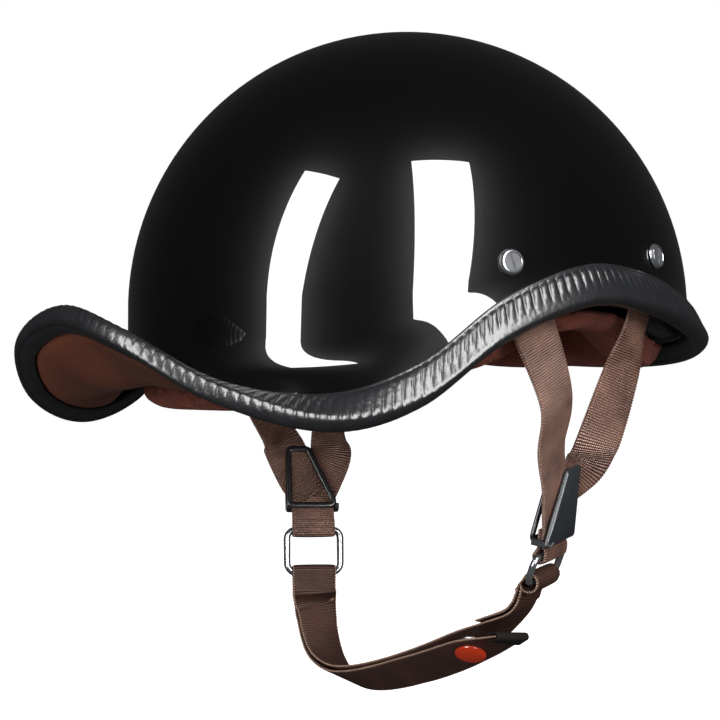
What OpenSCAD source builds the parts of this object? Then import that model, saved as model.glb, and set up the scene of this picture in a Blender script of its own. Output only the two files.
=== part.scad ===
// Cap-style motorcycle half helmet: rolled peak in front, arched ear cut-outs and a
// flared nape, with a riveted Y-strap harness, double rings and a snapped chin strap.
// Front is -Y, the wearer's left is +X, up is +Z. The origin is the centre of the dome.

/* [Shell] */
// Half width of the dome, outside
dome_half_width = 113; // [100:1:125]
// Half length of the dome, outside
dome_half_length = 133; // [120:1:145]
// Height of the crown above the dome's centre, outside
dome_height = 124.5; // [112:1:140]
// Thickness of the moulded shell
shell_wall = 3.5; // [2.5:0.1:4.5]
// How far the peak reaches beyond the dome
peak_reach = 52; // [40:1:62]
// Height of the peak's front edge, below the dome's centre
peak_drop = 2; // [0:1:15]
// Height of the shell's lowest corners, below the dome's centre
corner_drop = 43.5; // [36:0.5:52]
// Height of the nape edge, below the dome's centre
nape_drop = 20.5; // [15:0.5:32]
// How far the nape flares out
nape_flare = 7.5; // [4:0.5:14]

/* [Edge trim] */
// Width of the trim's outer face
trim_outer_face = 14.5; // [9:0.5:16]
// Width of the trim's inner face
trim_inner_face = 8; // [6:0.5:12]
// Thickness of the trim's rubber
trim_wall = 1.6; // [1:0.1:2.4]
// Running gap between the trim and the shell
trim_gap = 0.95; // [0.4:0.05:1]

/* [Liners and pads] */
// Thickness of the foam energy liner
foam_wall = 23; // [18:0.5:28]
// Gap between the foam liner and the shell
foam_gap = 0.75; // [0.4:0.05:1]
// Thickness of the quilted crown liner between its channels
crown_wall = 6; // [4:0.5:8]
// Space for the hook patches between the foam and the crown liner
patch_space = 2.4; // [2.2:0.1:3]
// Diameter of a hook patch
patch_diameter = 16; // [10:1:20]
// Thickness of a pad where it faces the head
pad_wall = 8; // [5:0.5:10]
// Height of a pad's inner face
pad_height = 44; // [34:1:50]
// Thickness of the peak's leatherette lining
lining_wall = 1.2; // [0.8:0.1:2]

/* [Rivets and anchors] */
// Diameter of a rivet's head
rivet_head_diameter = 10.8; // [8:0.2:13]
// Height of a rivet's head
rivet_head_height = 2.2; // [1.5:0.1:3]
// Diameter of a rivet's shank
rivet_shank_diameter = 4.4; // [3:0.2:5.2]
// Diameter of the dark disc set into a rivet's head
rivet_disc_diameter = 7; // [5:0.2:8]
// Width of the anchor plate along the strap
anchor_length = 11; // [9:1:16]
// Thickness of the anchor plate
anchor_wall = 0.9; // [0.6:0.1:1.2]

/* [Webbing] */
// Width of every strap
strap_width = 20; // [16:1:24]
// Thickness of the webbing
strap_thickness = 1.6; // [1.2:0.1:2]
// Gap between webbing and what it lies on
strap_gap = 0.35; // [0.2:0.05:0.6]

/* [Rings] */
// Outside width of a ring
ring_width = 28.5; // [26:0.5:32]
// Height of the left ring between its bars' centres
left_ring_height = 12; // [10:0.5:16]
// Height of the right rings between their bars' centres
right_ring_height = 20.6; // [16:0.2:24]
// Diameter of a ring's wire
ring_wire = 3; // [2.4:0.1:3.4]
// Distance between the two right rings
ring_pitch = 3.4; // [3.4:0.1:4.5]

/* [Dividers] */
// Height of a strap divider
divider_height = 31; // [28:1:34]
// Width of a divider at its bottom bar
divider_bottom = 26; // [26:0.5:32]
// Width of a divider at its top bar
divider_top = 12; // [11:0.5:16]
// Thickness of a divider's plate
divider_wall = 1.6; // [1.2:0.1:2]
// Width of the bars of the open frame
divider_bar = 2.8; // [2:0.1:3.2]

/* [Snap] */
// Diameter of the snap's cap
snap_diameter = 14; // [12:0.5:16]
// Diameter of the snap's stud
stud_diameter = 4; // [3:0.2:5]
// Height of the ring that the tail's cap holds on its inner side
socket_height = 1.6; // [1.3:0.1:2]
// Height of the stud's base
base_height = 0.8; // [0.5:0.1:1.2]

/* [Hidden] */

// Steps round the shell, down the dome and down the skirt
around = 72;
dome_rows = 10;
skirt_rows = 8;

// Angles from the front at which the edge is drawn
edge_angles = [0, 12, 24, 39, 53, 68, 86, 102, 120, 149, 180];
// Height of the edge at those angles
edge_heights = [-peak_drop, -peak_drop - 9.5, 12 - corner_drop, -corner_drop, 8 - corner_drop,
    -11.5, 3.5, 1.5, -6.5, 3.5 - nape_drop, -nape_drop];
// Flare of the edge beyond the dome
edge_flares = [peak_reach, peak_reach, peak_reach - 11, 23.5, 9.5, 5, 4.7, 5.5, 7,
    nape_flare - 0.3, nape_flare];
// Slope of the surface where it meets the edge
edge_slopes = [33, 28, 0, -42, -64, -70, -71, -68, -62, -58, -55];
// Height at which the skirt leaves the dome
skirt_starts = [-7, -8, -12, -14, -4, 12, 23, 21, 13, 3, 0];
// Reach of the skirt's curve at its upper and lower end
upper_reaches = [36, 34, 24, 13, 9, 8, 7, 7, 7, 8, 8];
lower_reaches = [34, 32, 22, 13, 9, 8, 7, 7, 7, 8, 8];
// Height of the pads' bottom line
pad_angles = [0, 30, 60, 72, 80, 92, 105, 120, 150, 180];
pad_bottoms = [-39, -39, -29, -21.5, -15, -10, -13, -23, -25, -23];

// Smooth curve through values given at rising angles, level at both ends
function slope_at(a, v, j) = j <= 0 || j >= len(a) - 1 ? 0 : (v[j + 1] - v[j - 1]) / (a[j + 1] - a[j - 1]);
function folded(t) = let (m = t - 360 * floor(t / 360)) m > 180 ? 360 - m : m;
function interval(a, t, j = 0) = j >= len(a) - 2 || t < a[j + 1] ? j : interval(a, t, j + 1);
function smooth(a, v, angle) =
    let (t = folded(angle), j = interval(a, t), h = a[j + 1] - a[j], u = (t - a[j]) / h)
    (2 * u * u * u - 3 * u * u + 1) * v[j] + (u * u * u - 2 * u * u + u) * h * slope_at(a, v, j)
    + (3 * u * u - 2 * u * u * u) * v[j + 1] + (u * u * u - u * u) * h * slope_at(a, v, j + 1);
function unit(v) = v / norm(v);
function mix(a, b, u) = a * (1 - u) + b * u;

// Point of the skirt's curve: [distance beyond the dome, height] at u from 0 to 1
mean_radius = (dome_half_width + dome_half_length) / 2;
function skirt_controls(t) =
    let (start = smooth(edge_angles, skirt_starts, t),
        lift = asin(max(0, start) / dome_height),
        p0 = [mean_radius * (cos(lift) - 1), start],
        down = unit([mean_radius * sin(lift), -dome_height * cos(lift)]),
        slope = smooth(edge_angles, edge_slopes, t),
        p3 = [smooth(edge_angles, edge_flares, t), smooth(edge_angles, edge_heights, t)])
    [p0, p0 + smooth(edge_angles, upper_reaches, t) * down,
        p3 - smooth(edge_angles, lower_reaches, t) * [cos(slope), sin(slope)], p3];
function cubic(p, u) = pow(1 - u, 3) * p[0] + 3 * pow(1 - u, 2) * u * p[1]
    + 3 * (1 - u) * u * u * p[2] + pow(u, 3) * p[3];
function cubic_way(p, u) = unit(pow(1 - u, 2) * (p[1] - p[0]) + 2 * (1 - u) * u * (p[2] - p[1])
    + u * u * (p[3] - p[2]));
function outward(way) = [-way[1], way[0]];
// Place in the row: beyond is the distance outside the dome's own ellipse at that height
function dome_scale(z) = z > 0 ? sqrt(max(0, 1 - pow(z / dome_height, 2))) : 1;
function skirt_place(t, q, inset) =
    let (own = mean_radius * (dome_scale(q[1][1]) - 1), beyond = q[0][0] - own)
    [(dome_half_width * dome_scale(q[1][1]) + beyond) * sin(t),
        -(dome_half_length * dome_scale(q[1][1]) + beyond) * cos(t), q[0][1]];
function skirt_point(t, u, inset = 0) =
    let (p = skirt_controls(t), c = cubic(p, u), n = outward(cubic_way(p, u)))
    skirt_place(t, [c - inset * n, c], inset);
// Point down the dome at angle e above its centre, moved in by inset
function dome_point(t, e, inset = 0) =
    let (n = unit([dome_height * cos(e), mean_radius * sin(e)]))
    [(dome_half_width * cos(e) - inset * n[0]) * sin(t),
        -(dome_half_length * cos(e) - inset * n[0]) * cos(t), dome_height * sin(e) - inset * n[1]];
function skirt_lift(t) = asin(max(0, smooth(edge_angles, skirt_starts, t)) / dome_height);
// Distance down from the dome's centre where a low skirt starts
function skirt_plain(t) = min(0, smooth(edge_angles, skirt_starts, t));
// Point on a surface set a depth inside the dome, at a height
function inner_scale(z, depth) = z > 0 ? sqrt(max(0, 1 - pow(z / (dome_height - depth), 2))) : 1;
function inner_point(t, z, depth) =
    [(dome_half_width - depth) * inner_scale(z, depth) * sin(t),
        -(dome_half_length - depth) * inner_scale(z, depth) * cos(t), z];

// Faces between rings of n points; the first and last may be single points
function band(first, second, n) = [for (k = [0:n - 1]) let (m = (k + 1) % n)
    each [[first + k, second + k, second + m], [first + k, second + m, first + m]]];
function fan(tip, ring, n, up) = [for (k = [0:n - 1]) let (m = (k + 1) % n)
    up ? [tip, ring + k, ring + m] : [tip, ring + m, ring + k]];
// A closed bowl from a top point, through rings, to a last point
module bowl(top, rings, bottom) {
    n = len(rings[0]);
    last = 1 + n * len(rings);
    polyhedron(points = concat([top], [for (r = rings) each r], [bottom]),
        faces = concat(fan(0, 1, n, false),
            [for (j = [0:len(rings) - 2]) each band(1 + n * (j + 1), 1 + n * j, n)],
            fan(last, last - n, n, true)));
}
// A body swept through sections of equal count, closed round or with flat ends; a thin bent
// section, with its second half running back beside its first, is a strip
module sweep(sections, closed = false, strip = false) {
    n = len(sections[0]);
    rings = len(sections);
    cap = strip ? [for (k = [0:n / 2 - 2]) each [[k, k + 1, n - 2 - k], [k, n - 2 - k, n - 1 - k]]]
        : [for (k = [1:n - 2]) [0, k, k + 1]];
    polyhedron(points = [for (s = sections) each s],
        faces = concat(
            [for (j = [0:rings - (closed ? 1 : 2)]) each band(n * j, n * ((j + 1) % rings), n)],
            closed ? [] : cap,
            closed ? [] : [for (f = cap) [for (k = [f[0], f[2], f[1]]) n * (rings - 1) + k]]));
}

// Shell
function shell_ring(row, inset) = [for (k = [0:around - 1]) let (t = 360 * k / around)
    row <= dome_rows ? dome_point(t, 90 - (90 - skirt_lift(t)) * row / dome_rows, inset)
        + [0, 0, row == dome_rows ? skirt_plain(t) : 0]
    : skirt_point(t, (row - dome_rows) / skirt_rows, inset)];
module shell() {
    last_row = dome_rows + skirt_rows;
    color([0.02, 0.02, 0.025])
    difference() {
        bowl([0, 0, dome_height],
            concat([for (row = [1:last_row]) shell_ring(row, 0)],
                [for (row = [last_row:-1:1]) shell_ring(row, shell_wall)]),
            [0, 0, dome_height - shell_wall]);
        at_rivets() rivet_hole();
    }
}

// Edge trim, a U-shaped rubber channel pushed over the shell's edge
function skirt_run(t, u) = norm(cubic(skirt_controls(t), u) - cubic(skirt_controls(t), 1));
// Step back along the skirt's curve until the edge is a given distance away
function back_to(t, run, u = 1) = u <= 0.02 || skirt_run(t, u) >= run ? u : back_to(t, run, u - 0.02);
function trim_point(t, run, inset) =
    let (p = skirt_controls(t), u = run > 0 ? back_to(t, run) : 1, c = cubic(p, u),
        way = cubic_way(p, u), n = outward(way), past = run < 0 ? -run * way : [0, 0])
    skirt_place(t, [c + past - inset * n, c], inset);
function trim_section(t) =
    let (out = -trim_gap, out2 = out - trim_wall, in = shell_wall + trim_gap, in2 = in + trim_wall,
        top = trim_outer_face, low = trim_inner_face, under = -trim_gap, foot = under - trim_wall)
    [trim_point(t, top, out), trim_point(t, top - 0.8, out2), trim_point(t, top / 2, out2),
        trim_point(t, 0, out2), trim_point(t, foot, out + 0.3), trim_point(t, foot, in - 0.3),
        trim_point(t, 0, in2), trim_point(t, low / 2, in2), trim_point(t, low - 0.8, in2),
        trim_point(t, low, in), trim_point(t, under, in), trim_point(t, under, out)];
module edge_trim() {
    color([0.08, 0.08, 0.085])
    sweep([for (k = [0:around - 1]) trim_section(360 * k / around)], closed = true);
}

// Foam energy liner, with grooves for the four strap ends
foam_out = shell_wall + foam_gap;
foam_in = foam_out + foam_wall;
pad_lip = 12;
pad_clear = 1.8;
function pad_bottom(t) = smooth(pad_angles, pad_bottoms, t);
function foam_bottom(t) = pad_bottom(t) + pad_lip + pad_clear;
function foam_ring(row, depth, rows) = [for (k = [0:47]) let (t = 7.5 * k,
    e = 90 - row / rows * (90 - asin(foam_bottom(t) / (dome_height - depth))))
    inner_point(t, (dome_height - depth) * sin(e), depth)];
module foam_liner() {
    rows = 9;
    color([0.12, 0.12, 0.13])
    difference() {
        bowl([0, 0, dome_height - foam_out],
            concat([for (row = [1:rows]) foam_ring(row, foam_out, rows)],
                [for (row = [rows:-1:1]) foam_ring(row, foam_in, rows)]),
            [0, 0, dome_height - foam_in]);
        for (leg = LEGS) webbing(leg_start(leg), strap_width + 3, 2 * strap_thickness + 5);
        at_rivets() translate([0, 0, -burr_depth - 2.5]) cylinder(d = 27, h = 12, $fn = 32);
    }
}

// Leatherette lining under the peak, from the trim's inner lip to the brow
lining_half_angle = 42;
function lining_section(t) =
    let (out = shell_wall + 0.6, in = out + lining_wall, lip = trim_inner_face + 2.6)
    concat([for (j = [0:6]) skirt_point(t, mix(back_to(t, lip), 0.34, j / 6), in)],
        [for (j = [6:-1:0]) skirt_point(t, mix(back_to(t, lip), 0.34, j / 6), out)]);
module peak_lining() {
    steps = 24;
    color([0.4, 0.24, 0.18])
    sweep([for (k = [0:steps]) lining_section(mix(-lining_half_angle, lining_half_angle, k / steps))],
        strip = true);
}

// Quilted crown liner, drawn in along its sewn channels
crown_out = foam_in + patch_space;
crown_channels = 6;
function crown_in(t, e) = crown_out + crown_wall
    * mix(1, 0.5 + 0.5 * pow(abs(sin(crown_channels * t / 2)), 0.5), sin(e) > 0.97 ? 0.3 : 1);
function crown_bottom(t) = pad_bottom(t) + pad_height + 1;
function crown_ring(row, depth, rows, quilted) = [for (k = [0:47]) let (t = 7.5 * k,
    e = 90 - row / rows * (90 - asin(crown_bottom(t) / (dome_height - depth))),
    d = quilted && row < rows ? crown_in(t, e) : depth)
    inner_point(t, (dome_height - d) * sin(e), d)];
module crown_liner() {
    rows = 6;
    color([0.34, 0.2, 0.18])
    bowl([0, 0, dome_height - crown_out],
        concat([for (row = [1:rows]) crown_ring(row, crown_out, rows, false)],
            [for (row = [rows:-1:1]) crown_ring(row, crown_out + crown_wall / 2, rows, true)]),
        [0, 0, dome_height - crown_out - crown_wall / 2]);
}
patch_wall = 0.9;
patch_angles = [0, 90, 180, 270];
patch_lift = 55;
module hook_patches() {
    color([0.1, 0.1, 0.1]) {
        translate([0, 0, dome_height - foam_in - patch_space + 0.4])
            cylinder(d = patch_diameter, h = patch_wall, $fn = 24);
        for (t = patch_angles) {
            at = inner_point(t, (dome_height - foam_in) * sin(patch_lift), foam_in);
            translate(at) facing(dome_normal(at))
                translate([0, 0, 0.4 - patch_space])
                cylinder(d = patch_diameter, h = patch_wall, $fn = 24);
        }
    }
}

// Comfort pads, a roll under the foam's edge with a cushion against the head
pad_seam = 1.2;
pad_spread = 8;
// How far the roll reaches out toward the shell, most at the brow
function spread(t) = pad_spread * max(0, min(1, (64 - abs(t)) / 18));
function pad_section(t, full) =
    let (b = pad_bottom(t), deep = foam_in + 1.5, face = deep + pad_wall * full, h = pad_height,
        out = spread(t))
    [inner_point(t, b + pad_lip, deep), inner_point(t, b + pad_lip, foam_out + 6.6),
        inner_point(t, b + 8, foam_out + 7 - 0.75 * out),
        inner_point(t, b + 4, foam_out + 8.8 - out),
        inner_point(t, b + mix(4, 0, full), deep - 14 - out / 2),
        inner_point(t, b + mix(4, 0, full), deep - 7), inner_point(t, b + mix(5, 3, full), face - 3),
        inner_point(t, b + 9, face), inner_point(t, b + h / 2, face + 1.5 * full - 1.5),
        inner_point(t, b + h - 7, face), inner_point(t, b + h, deep + 3 * full),
        inner_point(t, b + h - 4, deep)];
module pad(from, to) {
    steps = 22;
    sweep([for (k = [0:steps]) pad_section(mix(from + pad_seam / 2, to - pad_seam / 2, k / steps),
        mix(0.55, 1, pow(sin(180 * k / steps), 0.4)))]);
}
brow_end = 46;
nape_start = 142;
module brow_pad() color([0.36, 0.2, 0.18]) pad(-brow_end, brow_end);
module left_side_pad() color([0.36, 0.2, 0.18]) pad(brow_end, nape_start);
module right_side_pad() color([0.36, 0.2, 0.18]) pad(-nape_start, -brow_end);
module nape_pad() color([0.36, 0.2, 0.18]) pad(nape_start, 360 - nape_start);

// Rivets, which hold the strap ends inside the shell
front_rivet = [70, 17.5];
rear_rivet = [108.5, 22.7];
RIVETS = [for (side = [1, -1]) each [[side * front_rivet[0], front_rivet[1]],
    [side * rear_rivet[0], rear_rivet[1]]]];
// Turns a piece's +Z to a direction
module facing(way) {
    w = unit(way);
    rotate([0, acos(w[2]), atan2(w[1], w[0])]) children();
}
function rivet_place(r) = dome_point(r[0], asin(r[1] / dome_height));
module at_rivets() for (r = RIVETS) {
    p = rivet_place(r);
    translate(p) facing(dome_normal(p)) children();
}
rivet_play = 0.05;
leg_depth = shell_wall + 1.3 + strap_thickness / 2;
plate_depth = leg_depth + strap_thickness / 2 + 0.8;
burr_depth = plate_depth + anchor_wall + 0.05;
module rivet_hole() translate([0, 0, -12])
    cylinder(d = rivet_shank_diameter + 2 * rivet_play, h = 20, $fn = 24);
module strap_rivets() {
    r = rivet_head_diameter / 2;
    color([0.75, 0.75, 0.77])
    at_rivets() difference() {
        union() {
            translate([0, 0, 0.25]) rotate_extrude($fn = 32)
                polygon([[0, 0], [r, 0], [r, 0.5], [r - 0.5, rivet_head_height - 0.6],
                    [r - 1.4, rivet_head_height], [0, rivet_head_height]]);
            translate([0, 0, -burr_depth - 1.5])
                cylinder(d = rivet_shank_diameter, h = burr_depth + 2, $fn = 24);
        }
        translate([0, 0, rivet_head_height - 0.45])
            cylinder(d = rivet_disc_diameter + 0.1, h = 2, $fn = 32);
    }
}
module rivet_discs() {
    color([0.2, 0.2, 0.21])
    at_rivets() translate([0, 0, rivet_head_height - 0.44]) difference() {
        cylinder(d = rivet_disc_diameter, h = 0.8, $fn = 32);
        translate([0, 0, 0.9]) cube([rivet_disc_diameter, 1.1, 0.8], center = true);
    }
}
module rivet_burrs() {
    color([0.7, 0.7, 0.72])
    at_rivets() translate([0, 0, -burr_depth - 0.8]) difference() {
        cylinder(d = 9, h = 0.8, $fn = 24);
        translate([0, 0, -1]) cylinder(d = rivet_shank_diameter + 2 * rivet_play, h = 3, $fn = 24);
    }
}
module anchor_plates() {
    color([0.6, 0.6, 0.62])
    at_rivets() translate([0, 0, -plate_depth - anchor_wall]) difference() {
        translate([-anchor_length / 2, -strap_width / 2, 0])
            cube([anchor_length, strap_width, anchor_wall]);
        translate([0, 0, -1]) cylinder(d = rivet_shank_diameter + 2 * rivet_play, h = 3, $fn = 24);
    }
}

// Webbing along a path of [centre, outward normal]
function webbing_section(path, j, w, h) =
    let (a = path[max(0, j - 1)][0], b = path[min(len(path) - 1, j + 1)][0],
        way = unit(b - a), wide = unit(cross(way, path[j][1])), thick = cross(wide, way), c = path[j][0])
    [c + wide * w / 2 + thick * h / 2, c + wide * w / 2 - thick * h / 2,
        c - wide * w / 2 - thick * h / 2, c - wide * w / 2 + thick * h / 2];
module webbing(path, w = strap_width, h = strap_thickness) {
    sweep([for (j = [0:len(path) - 1]) webbing_section(path, j, w, h)]);
}
// Smooth run through a few chosen stations, some steps between each two
function through(p, j, u) =
    let (n = len(p) - 1, a = p[max(0, j - 1)], b = p[j], c = p[min(n, j + 1)], d = p[min(n, j + 2)])
    0.5 * ((2 * b) + (c - a) * u + (2 * a - 5 * b + 4 * c - d) * u * u
        + (3 * b - a - 3 * c + d) * u * u * u);
function run_through(p, steps) = concat(
    [for (j = [0:len(p) - 2]) each [for (k = [0:steps - 1]) through(p, j, k / steps)]], [p[len(p) - 1]]);

// Sides of the harness: upper bar of the rings, direction of the ring's width, lean of the rings
// towards the chin, pitch of the rings, lift of the divider above the bar, height of the rings,
// roll of the rings and the divider, lean of the webbing above the rings
LEFT = [[79.4, 4.6, -101.8], -75, 24, 0, 21, left_ring_height, -8, 10];
RIGHT = [[-78, 7.7, -102.5], 54, 8, ring_pitch, 25.5, right_ring_height, 0, 20];
function along(turn) = [cos(turn), sin(turn), 0];
function away(turn) = [-sin(turn), cos(turn), 0];
function wide_of(side) = cos(side[6]) * along(side[1]) + [0, 0, sin(side[6])];
function rolled_up(side) = [0, 0, cos(side[6])] - sin(side[6]) * along(side[1]);
function facing_out(side, lean) = cos(lean) * away(side[1]) - sin(lean) * rolled_up(side);
function rising(side, lean) = sin(lean) * away(side[1]) + cos(lean) * rolled_up(side);
// A point measured from the upper bar, and one measured from the lower bar
function hung(side, a, m, z) = side[0] + a * wide_of(side) + m * facing_out(side, side[7])
    + z * rising(side, side[7]);
function slung(side, a, m, z) = side[0] + a * wide_of(side) + m * facing_out(side, side[2])
    + (z - side[5]) * rising(side, side[2]);
module at_bar(side, lean) translate(side[0]) rotate([0, 0, side[1]]) rotate([0, -side[6], 0])
    rotate([-lean, 0, 0]) children();

// Legs of the two Y straps: side, rivet, angle where the strap leaves the shell, two free points with
// the way they face, two points by the divider's centre as [across, out, up, turn], and its layer there
LEGS = [
    [LEFT, 1, front_rivet, 76.5, [[101, -14.5, -37, 0], [92.8, -8.6, -57, 7]],
        [[6, 1.8, 12, 0], [3, 1.3, 1, 0]], 1],
    [LEFT, 1, rear_rivet, 104.5, [[99.2, 27, -27, -6], [94.6, 18.6, -54, -22]],
        [[-17.5, 4.2, 14.5, 0.8], [-9, -1.2, 2, 0]], -1],
    [RIGHT, -1, front_rivet, 78, [[-101, -11.5, -36, 197], [-97.5, 1, -56, 182]],
        [[-13, -1.7, 14.5, 0], [-6.5, -1.2, 0, 0]], -1],
    [RIGHT, -1, rear_rivet, 104.5, [[-99, 35.5, -36, 166], [-91, 28.5, -56, 172]],
        [[9.5, 1.8, 13, 0], [5, 1.2, 1, 0]], 1]];
leg_offset = strap_thickness / 2 + 0.06;
leg_end = 9;
leg_steps = 3;
function skirt_inside(t, z, depth) =
    [(dome_half_width - depth) * sin(t), -(dome_half_length - depth) * cos(t), z];
function dome_normal(p) = unit([p[0] / pow(dome_half_width, 2), p[1] / pow(dome_half_length, 2),
    p[2] / pow(dome_height, 2)]);
function free_point(q) = concat([q[0], q[1], q[2]], along(q[3]));
function entry_point(side, q) = concat(hung(side, q[0], q[1], side[4] + q[2]),
    unit(facing_out(side, side[7]) + q[3] * wide_of(side)));
function leg_path(leg) =
    let (side = leg[0], s = leg[1], r = leg[2], exit = leg[3],
        m = leg[6] * leg_offset, end = side[4] - leg_end,
        top = dome_point(s * (1.4 * r[0] - 0.4 * exit), asin((r[1] + 9) / dome_height), leg_depth),
        on_rivet = dome_point(s * r[0], asin(r[1] / dome_height), leg_depth),
        n = dome_normal(on_rivet), n0 = unit([n[0], n[1], 0]), out = facing_out(side, side[7]))
    [for (q = run_through([concat(top, dome_normal(top)), concat(on_rivet, n),
        concat(skirt_inside(s * mix(r[0], exit, 0.55), 4, leg_depth + 0.2), n0),
        concat(skirt_inside(s * exit, -9, leg_depth + 1.6), n0),
        free_point(leg[4][0]), free_point(leg[4][1]),
        entry_point(side, leg[5][0]), entry_point(side, leg[5][1]),
        concat(hung(side, 0, m, end), out), concat(hung(side, 0, m, end - 5), out)], leg_steps))
        [[q[0], q[1], q[2]], [q[3], q[4], q[5]]]];
// Part of a leg down to its first free point, which the foam is grooved for
function leg_start(leg) = [for (j = [0:4 * leg_steps]) leg_path(leg)[j]];
module leg(which) color([0.3, 0.18, 0.15]) difference() {
    webbing(leg_path(which));
    at_rivets() rivet_hole();
    at_bar(which[0], which[0][7]) translate([0, 0, which[0][4] - leg_end - 15]) cube(30, center = true);
}
module left_front_leg() leg(LEGS[0]);
module left_rear_leg() leg(LEGS[1]);
module right_front_leg() leg(LEGS[2]);
module right_rear_leg() leg(LEGS[3]);

// Loop of each Y strap, from its divider round the upper bars of the rings: [across, up]
eye_height = ring_wire / 2 + strap_gap + strap_thickness / 2;
function eye_run(pitch, first) = concat(
    [[leg_offset, first], [leg_offset, 6.2], [(leg_offset + pitch / 2 + eye_height) / 2, 3.6]],
    [for (k = [0:4]) [pitch / 2 + eye_height * cos(22.5 * k), -eye_height * sin(22.5 * k)]],
    [for (k = [0:4]) [-pitch / 2 - eye_height * sin(22.5 * k), -eye_height * cos(22.5 * k)]],
    [[-(leg_offset + pitch / 2 + eye_height) / 2, 3.6], [-leg_offset, 6.2], [-leg_offset, first]]);
function loop_point(side, m, z) = z > 5 ? hung(side, 0, m, z) : slung(side, 0, m, z + side[5]);
module strap_loop(side) {
    run = [for (p = eye_run(side[3], side[4] - leg_end - 0.3)) loop_point(side, p[0], p[1])];
    last = len(run) - 1;
    w = wide_of(side);
    color([0.3, 0.18, 0.15])
    webbing([for (j = [0:last]) [run[j], cross(w, unit(run[min(last, j + 1)] - run[max(0, j - 1)]))]]);
}
module left_strap_loop() strap_loop(LEFT);
module right_strap_loop() strap_loop(RIGHT);

// Dividers, a plate outside and an open frame inside, joined by posts beside the webbing
divider_half = 2.9;
divider_slant = (divider_bottom - divider_top) / divider_height;
module divider_outline(inset) {
    b = divider_bottom / 2;
    h = divider_height / 2 - inset;
    side_inset = inset * sqrt(1 + divider_slant * divider_slant);
    polygon([[inset - b, -h], [b - side_inset - divider_slant * inset, -h],
        [divider_top - b - side_inset + divider_slant * inset, h], [inset - b, h]]);
}
module divider_slab(m) translate([0, m, 0]) rotate([90, 0, 0])
    linear_extrude(divider_wall, center = true) children();
module divider_plate(side) {
    post = [1.8, 2 * divider_half + 0.45, 2.6];
    color([0.03, 0.03, 0.03])
    at_bar(side, side[7]) translate([0, 0, side[4]]) {
        divider_slab(divider_half + divider_wall / 2) divider_outline(0);
        for (a = [-1, 1])
            translate([a * (divider_bottom / 2 - post[0] / 2 - 0.6), 0.25, (post[2] - divider_height) / 2])
            cube(post, center = true);
    }
}
module divider_frame(side) {
    color([0.03, 0.03, 0.03])
    at_bar(side, side[7]) translate([0, 0, side[4]])
    divider_slab(-divider_half - divider_wall / 2) difference() {
        divider_outline(0);
        divider_outline(divider_bar);
    }
}
module left_divider_plate() divider_plate(LEFT);
module left_divider_frame() divider_frame(LEFT);
module right_divider_plate() divider_plate(RIGHT);
module right_divider_frame() divider_frame(RIGHT);

// Rings, straight bars joined by quarter bends, wider bends below on the right rings
upper_bend = 4;
module bend(radius) rotate_extrude(angle = 90, $fn = 24)
    translate([radius, 0]) circle(d = ring_wire, $fn = 12);
module bar(from, to) translate([from[0], from[1], 0])
    rotate([0, 0, atan2(to[1] - from[1], to[0] - from[0])]) rotate([0, 90, 0])
    cylinder(d = ring_wire, h = norm(to - from), $fn = 12);
module ring(side, m, lower_bend) {
    w = (ring_width - ring_wire) / 2;
    h = side[5];
    color([0.8, 0.8, 0.82])
    at_bar(side, side[2]) translate([0, m, 0]) rotate([90, 0, 0]) union() {
        bar([upper_bend - w, 0], [w - upper_bend, 0]);
        bar([lower_bend - w, -h], [w - lower_bend, -h]);
        for (s = [-1, 1]) bar([s * w, -upper_bend], [s * w, lower_bend - h]);
        translate([w - upper_bend, -upper_bend, 0]) bend(upper_bend);
        translate([upper_bend - w, -upper_bend, 0]) rotate([0, 0, 90]) bend(upper_bend);
        translate([lower_bend - w, lower_bend - h, 0]) rotate([0, 0, 180]) bend(lower_bend);
        translate([w - lower_bend, lower_bend - h, 0]) rotate([0, 0, 270]) bend(lower_bend);
    }
}
module left_ring() ring(LEFT, 0, upper_bend);
module right_outer_ring() ring(RIGHT, ring_pitch / 2, 5);
module right_inner_ring() ring(RIGHT, -ring_pitch / 2, 5);

// Chin strap: [x, y, z, direction of its width, roll], from the left ring under the chin to the right
eye_play = 1.1;
chin_eye = ring_wire / 2 + eye_play + strap_thickness / 2;
left_start = slung(LEFT, 0, -2.5, -6.4);
right_start = slung(RIGHT, 0, -ring_pitch / 2 - chin_eye, -9);
CHIN = [concat(left_start, -76, -4), [67, 2.4, -124.5, -78, -9], [55, 3, -132.6, -84, 8],
    [33.5, 4.2, -143.6, -90, 31], [9, 4.6, -154, -90, 38], [-15, 4.8, -162, -92, 37],
    [-37, 4.8, -167, -94, 32], [-53, 5.4, -167, -96, 24], [-65.5, 6.2, -160.5, -98, 14],
    [-72, 6.8, -150, -99, 5], [-75, 7.2, -138, -107, 0], concat(right_start, -118, 0)];
chin_steps = 3;
chin_runs = run_through(CHIN, chin_steps);
chin_last = len(chin_runs) - 1;
// Frame at a step: [centre, way along the strap, width, outward normal]
function chin_frame(j) =
    let (q = chin_runs[j], a = chin_runs[max(0, j - 1)], b = chin_runs[min(chin_last, j + 1)],
        way = unit([b[0] - a[0], b[1] - a[1], b[2] - a[2]]),
        w0 = cos(q[4]) * along(q[3]) + [0, 0, sin(q[4])], wide = unit(w0 - (w0 * way) * way))
    [[q[0], q[1], q[2]], way, wide, cross(wide, way)];
chin_frames = [for (j = [0:chin_last]) chin_frame(j)];
// Steps of the tail's tip, the sewn end, the snap and the tail's hinge
tip_step = 2 * chin_steps;
sewn_step = 3 * chin_steps - 2;
snap_step = 3 * chin_steps;
hinge_step = 4 * chin_steps;
sewn_offset = strap_thickness + 0.55;
layer_offset = strap_thickness + 1;
snap_offset = strap_thickness + socket_height + base_height + 0.8;
tip_droop = 0.9;
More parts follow.
